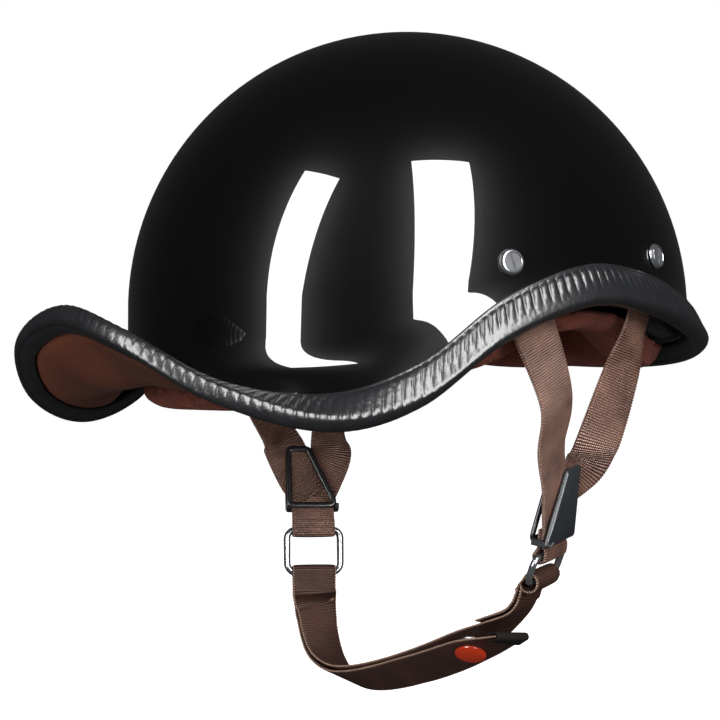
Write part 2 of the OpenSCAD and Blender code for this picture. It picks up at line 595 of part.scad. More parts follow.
// Distance of the outer layer from the inner one, wider at the snap and at the loose tip
function outer_offset(j) = layer_offset + (snap_offset - layer_offset)
    * (j <= snap_step ? 1 : max(0, 1 - (j - snap_step) / 5)) + tip_droop * max(0, snap_step - j);
function laid(j, d) = chin_frames[j][0] + d * chin_frames[j][3];
// Path over the lower bars, in the rings' plane, from inside (step 0) to outside (step 8)
function over_bars(side, first, last, way) = [for (k = [first:last]) let (b = 22.5 * k,
    m = (b <= 90 ? -1 : 1) * side[3] / 2 - chin_eye * cos(b), z = chin_eye * sin(b))
    [slung(side, 0, m, z), way * (sin(b) * rising(side, side[2]) - cos(b) * facing_out(side, side[2]))]];
module chin_strap() {
    out = facing_out(LEFT, LEFT[2]);
    sewn = [for (j = [sewn_step:-1:1]) [laid(j, -sewn_offset), -chin_frames[j][3]]];
    color([0.24, 0.15, 0.12]) difference() {
        webbing(concat(sewn, [[slung(LEFT, 0, -chin_eye - 0.9, -3.4), -out]],
            over_bars(LEFT, 0, 8, 1), [[slung(LEFT, 0, chin_eye - 0.9, -3.1), out]],
            [for (j = [0:chin_last]) [laid(j, 0), chin_frames[j][3]]],
            over_bars(RIGHT, 0, 4, -1)));
        at_snap(0) cylinder(d = snap_shank + 0.1, h = 6, center = true, $fn = 24);
    }
}
// Return layer, from the fold over the right rings back to the tail's hinge
module chin_strap_return() {
    out = facing_out(RIGHT, RIGHT[2]);
    reach = ring_pitch / 2 + chin_eye;
    color([0.24, 0.15, 0.12])
    webbing(concat(over_bars(RIGHT, 4.3, 4.3, -1), over_bars(RIGHT, 5, 8, -1),
        [[slung(RIGHT, 0, reach - 0.5, -4), -out], [slung(RIGHT, 0, reach - 2.2, -9), -out]],
        [for (j = [chin_last - 2:-1:hinge_step])
            let (bulge = j == chin_last - 2 ? 3 : j > chin_last - 5 ? 1 : 0)
            [laid(j, outer_offset(j) + bulge), -chin_frames[j][3]]]));
}
// Free end of the strap, which lifts off when the snap is pulled
hinge_gap = 0.35;
function tail_path() = concat(
    [[laid(hinge_step, outer_offset(hinge_step)) - hinge_gap * chin_frames[hinge_step][1],
        -chin_frames[hinge_step][3]]],
    [for (j = [hinge_step - 1:-1:tip_step]) [laid(j, outer_offset(j)), -chin_frames[j][3]]]);
module strap_tail() {
    color([0.24, 0.15, 0.12]) difference() {
        webbing(tail_path());
        at_snap(snap_offset) cylinder(d = snap_shank + 0.1, h = 6, center = true, $fn = 24);
    }
}
// Dark tape folded over the strap's end and stitched
fold_length = 4.5;
fold_wall = 0.8;
module tail_fold() {
    path = tail_path();
    last = len(path) - 1;
    c = path[last][0];
    f = unit(path[last - 1][0] - c);
    n = unit(path[last][1] - (path[last][1] * f) * f);
    n1 = unit(mix(path[last][1], path[last - 1][1], fold_length / norm(path[last - 1][0] - c)));
    reach = strap_thickness / 2 + 0.3 + fold_wall / 2;
    function at(run, d) = c + run * f - d * n;
    color([0.1, 0.07, 0.06])
    webbing([[c + fold_length * f + reach * n1, n1], [at(0, -reach), n],
        [at(-0.75 * reach, -0.7 * reach), n - f], [at(-reach, 0), -f],
        [at(-0.75 * reach, 0.7 * reach), -n - f], [at(0, reach), -n],
        [c + fold_length * f - reach * n1, -n1]], strap_width + 0.4, fold_wall);
}

// Snap, a stud on the inner layer and an enamelled cap with its socket on the tail
snap_shank = 2.4;
snap_back_diameter = 10;
socket_play = 0.4;
module at_snap(d) {
    f = chin_frames[snap_step];
    c = f[0] + d * f[3];
    multmatrix([[f[1][0], f[2][0], f[3][0], c[0]], [f[1][1], f[2][1], f[3][1], c[1]],
        [f[1][2], f[2][2], f[3][2], c[2]]]) mirror([0, 1, 0]) children();
}
module snap_cap() {
    r = snap_diameter / 2;
    color([0.85, 0.2, 0.1])
    at_snap(snap_offset) union() {
        translate([0, 0, strap_thickness / 2 + 0.6]) rotate_extrude($fn = 48)
            polygon([[0, 0], [r - 0.4, 0], [r, 0.5], [r - 0.2, 1.1], [r - 1.6, 1.9],
                [r * 0.45, 2.3], [0, 2.4]]);
        translate([0, 0, -strap_thickness / 2 - 0.75])
            cylinder(d = snap_shank, h = strap_thickness + 1.5, $fn = 24);
    }
}
module snap_socket() {
    color([0.75, 0.75, 0.76])
    at_snap(snap_offset - strap_thickness / 2 - socket_height - 0.25) difference() {
        cylinder(d = snap_diameter - 3, h = socket_height, $fn = 48);
        translate([0, 0, -1])
            cylinder(d = stud_diameter + 2 * socket_play, h = socket_height + 0.5, $fn = 32);
        cylinder(d = snap_shank + 0.04, h = 9, center = true, $fn = 24);
    }
}
module snap_stud() {
    color([0.75, 0.75, 0.76])
    at_snap(strap_thickness / 2 + 0.25) union() {
        cylinder(d = snap_diameter - 3, h = base_height, $fn = 48);
        cylinder(d = stud_diameter, h = base_height + socket_height - 0.75, $fn = 32);
        translate([0, 0, -strap_thickness - 0.85])
            cylinder(d = snap_shank, h = strap_thickness + 1.2, $fn = 24);
    }
}
module snap_back() {
    r = snap_back_diameter / 2;
    color([0.85, 0.2, 0.1])
    at_snap(-strap_thickness / 2 - 0.25) rotate([180, 0, 0]) difference() {
        rotate_extrude($fn = 48)
            polygon([[0, 0], [r, 0], [r, 0.6], [r - 0.9, 1.2], [0, 1.4]]);
        cylinder(d = snap_shank + 0.04, h = 0.9, center = true, $fn = 24);
    }
}

shell();
edge_trim();
foam_liner();
peak_lining();
crown_liner();
hook_patches();
brow_pad();
left_side_pad();
right_side_pad();
nape_pad();
strap_rivets();
rivet_discs();
rivet_burrs();
anchor_plates();
left_front_leg();
left_rear_leg();
right_front_leg();
right_rear_leg();
left_strap_loop();
right_strap_loop();
left_divider_plate();
left_divider_frame();
right_divider_plate();
right_divider_frame();
left_ring();
right_outer_ring();
right_inner_ring();
chin_strap();
chin_strap_return();
strap_tail();
tail_fold();
snap_cap();
snap_socket();
snap_stud();
snap_back();
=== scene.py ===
import math

import bmesh
import bpy
import numpy as np
from mathutils import Matrix, Vector


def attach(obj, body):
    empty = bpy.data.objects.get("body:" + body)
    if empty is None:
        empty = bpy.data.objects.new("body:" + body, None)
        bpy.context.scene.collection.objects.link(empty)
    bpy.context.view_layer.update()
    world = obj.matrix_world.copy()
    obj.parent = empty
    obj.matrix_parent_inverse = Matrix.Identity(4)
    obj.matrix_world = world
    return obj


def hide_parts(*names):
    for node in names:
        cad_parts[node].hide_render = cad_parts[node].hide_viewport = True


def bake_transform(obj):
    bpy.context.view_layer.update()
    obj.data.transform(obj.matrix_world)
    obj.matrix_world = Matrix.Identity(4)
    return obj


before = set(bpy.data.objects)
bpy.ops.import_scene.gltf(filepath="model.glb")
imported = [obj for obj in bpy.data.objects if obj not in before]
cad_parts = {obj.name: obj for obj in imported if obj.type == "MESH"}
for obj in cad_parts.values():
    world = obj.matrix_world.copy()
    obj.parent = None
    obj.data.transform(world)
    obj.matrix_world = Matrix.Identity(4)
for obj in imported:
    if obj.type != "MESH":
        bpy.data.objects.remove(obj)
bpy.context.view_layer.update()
scene = bpy.context.scene

# Studio
# The helmet hangs level in a white room. Two tall softboxes show as strips in the lacquer, and
# broad lights that the lacquer doesn't mirror brighten the webbing, the pads and the rubber edge.
MM = 0.001
camera_turn = math.radians(48.5)
camera_right = Vector((math.cos(camera_turn), math.sin(camera_turn), 0))
camera_back = Vector((math.sin(camera_turn), -math.cos(camera_turn), 0))
camera_distance = 903.18
camera_left = 23.6
camera_drop = 21
picture_side = 720
lens_length = 2015.9  # in the picture's pixels
sensor_width = 36
camera = bpy.data.objects.new("camera", bpy.data.cameras.new("camera"))
camera.data.sensor_width = sensor_width
camera.data.lens = sensor_width * (lens_length / picture_side)
camera.location = (camera_back * camera_distance - camera_right * camera_left) * MM
camera.location.z = -camera_drop * MM
camera.rotation_euler = (math.radians(90), 0, camera_turn)
scene.collection.objects.link(camera)
scene.camera = camera
scene.view_settings.view_transform = "Standard"

floor_drop = 300
floor_side = 12000
floor = bpy.data.objects.new("floor", bpy.data.meshes.new("floor"))
floor.data.from_pydata([(x * floor_side * MM / 2, y * floor_side * MM / 2, -floor_drop * MM)
    for x, y in ((-1, -1), (1, -1), (1, 1), (-1, 1))], [], [(0, 1, 2, 3)])
scene.collection.objects.link(floor)
floor.visible_glossy = False
floor.visible_diffuse = False
pale = bpy.data.materials.new("floor_paint")
pale.use_nodes = True
paint = pale.node_tree.nodes["Principled BSDF"]
paint.inputs["Base Color"].default_value = (0.86, 0.86, 0.86, 1)
paint.inputs["Roughness"].default_value = 0.9
paint.inputs["Emission Color"].default_value = (1, 1, 1, 1)
paint.inputs["Emission Strength"].default_value = 1
floor.data.materials.append(pale)

room = bpy.data.worlds.new("room")
room.use_nodes = True
scene.world = room
backdrop = room.node_tree.nodes["Background"]
backdrop.inputs["Color"].default_value = (1, 1, 1, 1)


def feed(tree, socket, value):
    """Links a socket to another, or sets it to a plain value"""
    if isinstance(value, bpy.types.NodeSocket):
        tree.links.new(value, socket)
    else:
        socket.default_value = value


def node(tree, kind, settings=None, **inputs):
    """A node with its settings, and inputs given as values or as sockets to link"""
    made = tree.nodes.new(kind)
    for key, value in (settings or {}).items():
        setattr(made, key, value)
    for key, value in inputs.items():
        feed(tree, made.inputs[key.replace("_", " ")], value)
    return made


def maths(tree, operation, *values, clamp=False):
    """The result of a maths node on values or sockets"""
    made = node(tree, "ShaderNodeMath", {"operation": operation, "use_clamp": clamp})
    for socket, value in zip(made.inputs, values):
        feed(tree, socket, value)
    return made.outputs[0]


# The backdrop is white to the camera, dim to gloss and a little brighter to cloth
ray_kind = node(room.node_tree, "ShaderNodeLightPath")
dim_in_lacquer = node(room.node_tree, "ShaderNodeMapRange", None, Value=ray_kind.outputs["Is Glossy Ray"],
    To_Min=0.16, To_Max=0.03)
feed(room.node_tree, backdrop.inputs["Strength"], maths(room.node_tree, "MAXIMUM",
    dim_in_lacquer.outputs["Result"], ray_kind.outputs["Is Camera Ray"]))


def softbox(name, place, aim, width, height, radiance, mirrored, up=(0, 0, 1)):
    """Soft light at a place in metres; a mirrored one shows only in gloss, the rest light cloth"""
    lamp = bpy.data.lights.new(name, "AREA")
    lamp.shape = "RECTANGLE"
    lamp.size = width
    lamp.size_y = height
    lamp.energy = radiance * math.pi * width * height
    light = bpy.data.objects.new(name, lamp)
    light.location = place
    back = (Vector(place) - Vector(aim)).normalized()
    across = Vector(up).cross(back).normalized()
    light.rotation_euler = Matrix((across, back.cross(across), back)).transposed().to_euler()
    light.visible_camera = False
    light.visible_glossy = mirrored
    light.visible_diffuse = not mirrored
    scene.collection.objects.link(light)


strip_radiance = 26
softbox("front_strip", (0.340, -1.272, 0.487), (0.178, -0.374, 0.079), 0.4, 1.66, strip_radiance, True,
    (-0.033, 0.409, 0.912))
softbox("side_strip", (1.249, -0.305, 0.586), (0.394, -0.126, 0.099), 0.5, 1.6, strip_radiance, True,
    (-0.429, 0.283, 0.858))
softbox("key_fill", (1.6, 0.5, 0.6), (0, 0, -0.08), 0.8, 0.8, 9, False)
softbox("front_fill", (0.9, -1.5, 0.2), (0, 0, -0.06), 0.8, 0.8, 7, False)
softbox("top_fill", (0.2, -0.9, 1.7), (0, 0, 0), 1.0, 1.0, 2.6, False)
softbox("rear_fill", (-1.1, 1.4, 0.5), (0, 0, -0.05), 0.9, 0.9, 4, False)


# Shell
# One moulded bowl of glass-fibre laminate under black lacquer, with a rolled peak, arches over the
# ears and a flared nape. Its wall is even, and the edge trim hides where it was cut.
dome_half_width = 113
dome_half_length = 133
dome_height = 124.5
shell_wall = 3.5
mean_radius = (dome_half_width + dome_half_length) / 2
# The shell's edge and skirt, at angles from the front round to the back
EDGE_ANGLES = [0, 12, 24, 39, 53, 68, 86, 102, 120, 149, 180]
edge_heights = [-2, -11.5, -31.5, -43.5, -35.5, -11.5, 3.5, 1.5, -6.5, -17, -20.5]
edge_flares = [52, 52, 41, 23.5, 9.5, 5, 4.7, 5.5, 7, 7.2, 7.5]
edge_slopes = [33, 28, 0, -42, -64, -70, -71, -68, -62, -58, -55]
skirt_starts = [-7, -8, -12, -14, -4, 12, 23, 21, 13, 3, 0]
upper_reaches = [36, 34, 24, 13, 9, 8, 7, 7, 7, 8, 8]
lower_reaches = [34, 32, 22, 13, 9, 8, 7, 7, 7, 8, 8]


def smooth(angles, values, angle):
    """Smooth curve through values given at rising angles from the front, level at both ends"""
    t = abs((angle + 180) % 360 - 180)
    j = max(0, min(len(angles) - 2, int(np.searchsorted(angles, t, side="right")) - 1))
    width = angles[j + 1] - angles[j]
    u = (t - angles[j]) / width

    def slope(k):
        if k <= 0 or k >= len(angles) - 1:
            return 0
        return (values[k + 1] - values[k - 1]) / (angles[k + 1] - angles[k - 1])

    return ((2 * u ** 3 - 3 * u ** 2 + 1) * values[j] + (u ** 3 - 2 * u ** 2 + u) * width * slope(j)
        + (3 * u ** 2 - 2 * u ** 3) * values[j + 1] + (u ** 3 - u ** 2) * width * slope(j + 1))


def unit(v):
    """A vector's direction, with a length of one"""
    v = np.asarray(v, float)
    return v / np.linalg.norm(v)


def dome_scale(height, depth=0):
    """How wide the dome is at a height, as a share of its foot"""
    if height <= 0:
        return 1
    return math.sqrt(max(0, 1 - (height / (dome_height - depth)) ** 2))


class SkirtSection:
    """The skirt at one angle round the rim: a curve of [distance beyond the dome, height]"""

    def __init__(self, angle):
        self.turn = math.radians(angle)
        self.start = smooth(EDGE_ANGLES, skirt_starts, angle)
        lift = math.asin(max(0, self.start) / dome_height)
        slope = math.radians(smooth(EDGE_ANGLES, edge_slopes, angle))
        first = np.array([mean_radius * (math.cos(lift) - 1), self.start])
        down = unit([mean_radius * math.sin(lift), -dome_height * math.cos(lift)])
        edge = np.array([smooth(EDGE_ANGLES, edge_flares, angle), smooth(EDGE_ANGLES, edge_heights, angle)])
        reach = smooth(EDGE_ANGLES, upper_reaches, angle)
        back = smooth(EDGE_ANGLES, lower_reaches, angle)
        self.controls = [first, first + reach * down,
            edge - back * np.array([math.cos(slope), math.sin(slope)]), edge]
        self.shares = np.linspace(1, 0, 101)
        spots = np.array([self.spot(u) for u in self.shares])
        self.runs = np.maximum.accumulate(np.linalg.norm(spots - edge, axis=1))

    def spot(self, u):
        """Spot [beyond the dome, height] on the curve, from its start at 0 to the edge at 1"""
        a, b, c, d = self.controls
        return (1 - u) ** 3 * a + 3 * (1 - u) ** 2 * u * b + 3 * (1 - u) * u ** 2 * c + u ** 3 * d

    def way(self, u):
        """Direction of the curve towards the edge"""
        a, b, c, d = self.controls
        return unit((1 - u) ** 2 * (b - a) + 2 * (1 - u) * u * (c - b) + u ** 2 * (d - c))

    def place(self, spot, height):
        """A spot's point in space, measured from the dome's outside at a height"""
        scale = dome_scale(height)
        beyond = spot[0] - mean_radius * (scale - 1)
        return [(dome_half_width * scale + beyond) * math.sin(self.turn),
            -(dome_half_length * scale + beyond) * math.cos(self.turn), spot[1]]

    def point(self, u, inset=0):
        """Point on the skirt's outside, or inset from it"""
        spot = self.spot(u)
        way = self.way(u)
        return self.place(spot - inset * np.array([-way[1], way[0]]), spot[1])

    def near_edge(self, run, inset):
        """Point a run back from the edge, or past it where the run is negative"""
        u = float(np.interp(run, self.runs, self.shares)) if run > 0 else 1
        spot = self.spot(u)
        way = self.way(u)
        past = -run * way if run < 0 else 0
        return self.place(spot + past - inset * np.array([-way[1], way[0]]), spot[1])


def lift_of(height):
    """Angle up the dome, in degrees, at which its outside reaches a height"""
    return math.degrees(math.asin(height / dome_height))


def dome_point(angle, lift, inset=0):
    """Point on the dome at an angle round it and up it, or inset from there"""
    t, e = math.radians(angle), math.radians(lift)
    n = unit([dome_height * math.cos(e), mean_radius * math.sin(e)])
    return [(dome_half_width * math.cos(e) - inset * n[0]) * math.sin(t),
        -(dome_half_length * math.cos(e) - inset * n[0]) * math.cos(t),
        dome_height * math.sin(e) - inset * n[1]]


def colour(red, green, blue):
    """A colour as the eye reads it, from 0 to 255, for the shaders"""
    return [((c / 255 + 0.055) / 1.055) ** 2.4 if c > 10 else c / 255 / 12.92
        for c in (red, green, blue)] + [1]


def finish(name, base, roughness, **sockets):
    """A new material with its shader's plain values set"""
    made = bpy.data.materials.new(name)
    made.use_nodes = True
    shader = made.node_tree.nodes["Principled BSDF"]
    shader.inputs["Base Color"].default_value = base
    shader.inputs["Roughness"].default_value = roughness
    for socket, value in sockets.items():
        shader.inputs[socket.replace("_", " ")].default_value = value
    return made


def new_tree(name, tree_kind, inputs, outputs):
    """An empty node tree with named inputs, as name: (socket kind, value), and named outputs"""
    tree = bpy.data.node_groups.new(name, tree_kind)
    for label, (kind, value) in inputs.items():
        socket = tree.interface.new_socket(name=label, in_out="INPUT", socket_type="NodeSocket" + kind)
        if value is not None:
            socket.default_value = value
    for label, kind in outputs.items():
        tree.interface.new_socket(name=label, in_out="OUTPUT", socket_type="NodeSocket" + kind)
    return tree, tree.nodes.new("NodeGroupInput"), tree.nodes.new("NodeGroupOutput")


# Grain: fine pits and slow cloudiness, from the object's own coordinates
grain, grain_in, grain_out = new_tree("grain", "ShaderNodeTree",
    {"Size": ("Float", 1.0), "Cloud Size": ("Float", 20.0)}, {"Height": "Float", "Clouds": "Float"})
place = node(grain, "ShaderNodeTexCoord").outputs["Object"]
per_metre = maths(grain, "DIVIDE", 1000.0, grain_in.outputs["Size"])
cloud_scale = maths(grain, "DIVIDE", 1000.0, grain_in.outputs["Cloud Size"])
pits = node(grain, "ShaderNodeTexVoronoi", {"feature": "SMOOTH_F1"}, Vector=place, Scale=per_metre,
    Smoothness=0.6)
fuzz = node(grain, "ShaderNodeTexNoise", None, Vector=place, Scale=per_metre, Detail=4.0)
both = node(grain, "ShaderNodeMix", {"data_type": "FLOAT"}, Factor=0.5)
feed(grain, both.inputs[2], pits.outputs["Distance"])
feed(grain, both.inputs[3], fuzz.outputs["Fac"])
clouds = node(grain, "ShaderNodeTexNoise", None, Vector=place, Scale=cloud_scale, Detail=3.0)
feed(grain, grain_out.inputs["Height"], both.outputs[0])
feed(grain, grain_out.inputs["Clouds"], clouds.outputs["Fac"])


def textured(made, height, depth, share, dark, light):
    """Gives a material a relief of a depth in millimetres and a colour between two by a share"""
    tree = made.node_tree
    shader = tree.nodes["Principled BSDF"]
    bump = node(tree, "ShaderNodeBump", None, Distance=depth * MM, Height=height)
    tint = node(tree, "ShaderNodeMix", {"data_type": "RGBA"}, Factor=share)
    tint.inputs[6].default_value = dark
    tint.inputs[7].default_value = light
    feed(tree, shader.inputs["Base Color"], tint.outputs[2])
    feed(tree, shader.inputs["Normal"], bump.outputs["Normal"])
    return made


def grained(name, base, light, dark, roughness, size, depth, cloud_size, **sockets):
    """A material with fine grain in millimetres and a cloudy colour between light and dark"""
    made = finish(name, colour(*base), roughness, **sockets)
    effect = node(made.node_tree, "ShaderNodeGroup", {"node_tree": grain}, Size=size, Cloud_Size=cloud_size)
    return textured(made, effect.outputs["Height"], depth, effect.outputs["Clouds"], colour(*dark),
        colour(*light))


def turn_outwards(mesh):
    """Turns every face of a closed mesh to point outwards"""
    shape = bmesh.new()
    shape.from_mesh(mesh)
    bmesh.ops.recalc_face_normals(shape, faces=shape.faces)
    shape.to_mesh(mesh)
    shape.free()


def new_piece(name, points, faces, made_of, sharp=180):
    """A mesh piece from points in millimetres, its faces turned outwards"""
    mesh = bpy.data.meshes.new(name)
    mesh.from_pydata((np.asarray(points, float) * MM).tolist(), [], faces)
    turn_outwards(mesh)
    mesh.shade_smooth()
    if sharp < 180:
        mesh.set_sharp_from_angle(angle=math.radians(sharp))
    mesh.materials.append(made_of)
    piece = bpy.data.objects.new(name, mesh)
    scene.collection.objects.link(piece)
    return piece


def ring_faces(first, second, count):
    """Faces between two rings of points, from the number of each ring's first point"""
    return [(first + k, first + (k + 1) % count, second + (k + 1) % count, second + k) for k in range(count)]


def tube_faces(rows, count, joined=False, capped=False):
    """Faces of a tube of rings: open, joined round on itself, or capped at both ends"""
    faces = [f for j in range(rows if joined else rows - 1)
        for f in ring_faces(count * j, count * ((j + 1) % rows), count)]
    if capped:
        faces += [tuple(range(count)), tuple(count * (rows - 1) + k for k in range(count))]
    return faces


def bowl(name, top, rings, bottom, made_of):
    """A closed bowl from a top point, through rings of equal count, to a last point"""
    count = len(rings[0])
    last = 1 + count * len(rings)
    points = np.vstack([[top]] + [np.asarray(r) for r in rings] + [[bottom]])
    faces = [(0, 1 + k, 1 + (k + 1) % count) for k in range(count)]
    for j in range(len(rings) - 1):
        faces += ring_faces(1 + count * j, 1 + count * (j + 1), count)
    faces += [(last, last - count + (k + 1) % count, last - count + k) for k in range(count)]
    return new_piece(name, points, faces, made_of)


shell_around = 288
dome_rows = 44
skirt_rows = 30
shell_sections = [SkirtSection(360 * k / shell_around) for k in range(shell_around)]


def shell_ring(row, inset):
    """Ring of the shell's outside, or of its inside, a row down from its top"""
    if row > dome_rows:
        return [s.point((row - dome_rows) / skirt_rows, inset) for s in shell_sections]
    ring = []
    for s in shell_sections:
        spot = dome_point(math.degrees(s.turn), 90 - (90 - lift_of(max(0, s.start))) * row / dome_rows, inset)
        if row == dome_rows:
            spot[2] += min(0, s.start)
        ring.append(spot)
    return ring


peel_depth = 0.02
lacquer = finish("black_lacquer", colour(9, 9, 10), 0.3, Coat_Weight=1.0, Coat_Roughness=0.012,
    Specular_IOR_Level=0.05)
lacquer_tree = lacquer.node_tree
peel = node(lacquer_tree, "ShaderNodeTexNoise", None, Scale=55.0, Detail=1.0,
    Vector=node(lacquer_tree, "ShaderNodeTexCoord").outputs["Object"])
peel_bump = node(lacquer_tree, "ShaderNodeBump", None, Distance=peel_depth * MM, Strength=0.35,
    Height=peel.outputs["Fac"])
for socket in ("Normal", "Coat Normal"):
    feed(lacquer_tree, lacquer_tree.nodes["Principled BSDF"].inputs[socket], peel_bump.outputs["Normal"])

last_row = dome_rows + skirt_rows
shell = bowl("shell_lacquered", [0, 0, dome_height],
    [shell_ring(row, 0) for row in range(1, last_row + 1)]
    + [shell_ring(row, shell_wall) for row in range(last_row, 0, -1)],
    [0, 0, dome_height - shell_wall], lacquer)
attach(shell, "helmet")
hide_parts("shell")

# Edge trim
# A soft rubber channel pushed over the shell's cut edge all the way round. Its outer face is
# moulded with puffy cross ribs under a thin lip, and its foot is a smooth roll.
trim_top = 14.9
trim_inner_face = 8
trim_out = 2.45
trim_in = 5.95
trim_foot = 2.5
rib_pitch = 4.4
rib_depth = 0.62
steps_per_rib = 8
foot_steps = 9
roll_fade = 0.12


def trim_profile():
    """Points [run back from the edge, inset, how ribbed at the ears, and at the peak] of the channel"""
    # The thin lip, the dip below it and the ribbed face
    outer = [(trim_top - 0.2, -0.12, 0, 0), (trim_top, -0.55, 0, 0), (trim_top - 0.25, -1.05, 0, 0),
        (trim_top - 0.9, -1.25, 0, 0), (trim_top - 1.5, -1.1, 0, 0), (trim_top - 2.1, -1.35, 0.5, 0.1),
        (trim_top - 3, -1.85, 0.9, 0.2), (trim_top - 4.4, -2.2, 1, 0.4), (8.6, -trim_out + 0.1, 1, 0.7),
        (6.8, -trim_out, 0.8, 1), (5, -trim_out, 0.3, 1), (3.2, -trim_out, 0.05, 1), (1.6, -trim_out, 0, 1)]
    # The roll at its foot
    middle = (trim_in - trim_out) / 2
    half = (trim_in + trim_out) / 2
    foot = []
    for k in range(foot_steps + 1):
        a = math.pi * k / foot_steps
        foot.append((-trim_foot * math.sin(a) ** 0.9, middle - half * math.cos(a), 0,
            max(0, 1 - roll_fade * k)))
    # The inner face with its fine groove, the inner lip, and the channel that grips the shell
    inner = [(0.5, trim_in + 0.1, 0, 0), (1, trim_in - 0.35, 0, 0), (1.5, trim_in - 0.35, 0, 0),
        (2, trim_in + 0.1, 0, 0), (4.5, trim_in, 0, 0), (trim_inner_face - 0.8, trim_in - 0.1, 0, 0),
        (trim_inner_face, trim_in - 0.7, 0, 0), (trim_inner_face - 0.1, shell_wall + 0.15, 0, 0),
        (0.2, shell_wall + 0.12, 0, 0), (-0.35, shell_wall / 2, 0, 0), (0.2, -0.06, 0, 0), (8, -0.05, 0, 0)]
    return outer + foot + inner


def runs_along(points):
    """How far along a line of points each one lies"""
    return np.concatenate([[0], np.cumsum(np.linalg.norm(np.diff(points, axis=0), axis=1))])


def rim_angles(count):
    """Angles that part the rim into equal runs, and the rim's length"""
    angles = np.linspace(0, 360, 721)
    runs = runs_along([SkirtSection(a).point(1) for a in angles])
    return np.interp(np.arange(count) / count * runs[-1], runs, angles), runs[-1]


def geometry_tree(name, inputs):
    """A new geometry tree with a Geometry in and out and named inputs, as name: (socket kind, value)"""
    return new_tree(name, "GeometryNodeTree", {"Geometry": ("Geometry", None), **inputs},
        {"Geometry": "Geometry"})


def close_tree(tree, last, material_in, out):
    """Ends a tree with its instances made real and its material set"""
    real = node(tree, "GeometryNodeRealizeInstances", None, Geometry=last)
    painted = node(tree, "GeometryNodeSetMaterial", None, Geometry=real.outputs[0], Material=material_in)
    feed(tree, out.inputs["Geometry"], painted.outputs[0])


def finished(piece):
    """What a piece's modifiers make of it, as a plain mesh; the modifiers go"""
    graph = bpy.context.evaluated_depsgraph_get()
    mesh = bpy.data.meshes.new_from_object(piece.evaluated_get(graph))
    piece.modifiers.clear()
    return mesh


def grow(piece, tree, **values):
    """Runs a tree on a piece, with its inputs by name, and keeps the result as the piece's mesh"""
    step = piece.modifiers.new(tree.name, "NODES")
    step.node_group = tree
    names = {item.name: item.identifier for item in tree.interface.items_tree if item.in_out == "INPUT"}
    for label, value in values.items():
        step[names[label.replace("_", " ")]] = value
    piece.data = finished(piece)
    piece.data.shade_smooth()
    return piece


# The ribs: each is a puff of the face outwards, with a narrow valley between it and the next
ribs, ribs_in, ribs_out = geometry_tree("cross_ribs",
    {"Pitch": ("Float", 0.0044), "Depth": ("Float", 0.0006), "Material": ("Material", None)})
run_along, how_ribbed = (node(ribs, "GeometryNodeInputNamedAttribute", {"data_type": "FLOAT"},
    Name=name).outputs[0] for name in ("rim_run", "ribbed"))
half_turns = maths(ribs, "MULTIPLY", maths(ribs, "DIVIDE", run_along, ribs_in.outputs["Pitch"]), math.pi)
puff = maths(ribs, "POWER", maths(ribs, "ABSOLUTE", maths(ribs, "SINE", half_turns)), 0.55)
strong = maths(ribs, "MULTIPLY", maths(ribs, "SUBTRACT", puff, 0.75), how_ribbed)
outwards = node(ribs, "ShaderNodeVectorMath", {"operation": "SCALE"},
    Vector=node(ribs, "GeometryNodeInputNormal").outputs[0],
    Scale=maths(ribs, "MULTIPLY", strong, ribs_in.outputs["Depth"]))
moved = node(ribs, "GeometryNodeSetPosition", None, Geometry=ribs_in.outputs["Geometry"],
    Offset=outwards.outputs[0])
close_tree(ribs, moved.outputs[0], ribs_in.outputs["Material"], ribs_out)

rubber = grained("trim_rubber_grain", (38, 39, 42), (48, 49, 52), (30, 31, 33), 0.3, 1.9, 0.2, 9,
    Specular_IOR_Level=0.45)

rim_length = rim_angles(8)[1]
rib_count = round(rim_length / rib_pitch)
trim_steps = rib_count * steps_per_rib
trim_angles = rim_angles(trim_steps)[0]
profile = trim_profile()
trim_points = []
for angle in trim_angles:
    section = SkirtSection(angle)
    trim_points += [section.near_edge(run, inset) for run, inset, _, _ in profile]
edge_trim = new_piece("edge_trim_ribbed", trim_points, tube_faces(trim_steps, len(profile), joined=True),
    rubber)
# The ribs stand out over the ears, and round the peak they shrink to wrinkles on the roll
from_front = np.abs((trim_angles + 180) % 360 - 180)
at_ears = np.interp(from_front, (40, 62, 115, 150, 180), (0, 1, 1, 0.7, 0.6))
at_peak = np.interp(from_front, (0, 20, 40, 62), (0.45, 0.6, 0.6, 0))
edge_trim.data.attributes.new("rim_run", "FLOAT", "POINT").data.foreach_set("value",
    np.repeat(np.arange(trim_steps) * rim_length / trim_steps * MM, len(profile)))
edge_trim.data.attributes.new("ribbed", "FLOAT", "POINT").data.foreach_set("value",
    (np.outer(at_ears, [p[2] for p in profile]) + np.outer(at_peak, [p[3] for p in profile])).ravel())
grow(edge_trim, ribs, Pitch=rim_length / rib_count * MM, Depth=rib_depth * MM, Material=rubber)
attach(edge_trim, "helmet")
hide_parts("edge_trim")

# Peak lining
# A sheet of brown leatherette glued under the rolled peak. It starts behind the trim's inner lip
# and turns up to the brow, where the brow pad's front edge covers its hem.
lining_half_angle = 42
lining_top = 0.34
lining_wall = 1
lining_behind_trim = 0.6
lining_glue = 0.5
lining_start = 0.75
lining_steps = 96
lining_rows = 26


def lining_spot(section, row, back):
    """Point on the lining's face, or on its glued side"""
    edge = float(np.interp(trim_inner_face + lining_behind_trim, section.runs, section.shares))
    u = edge + (lining_top - edge) * row / lining_rows
    rise = 1 - math.exp(-1.1 * row)
    depth = shell_wall + (lining_glue if back else lining_start + (lining_wall + 0.1) * rise)
    return section.point(u, depth)


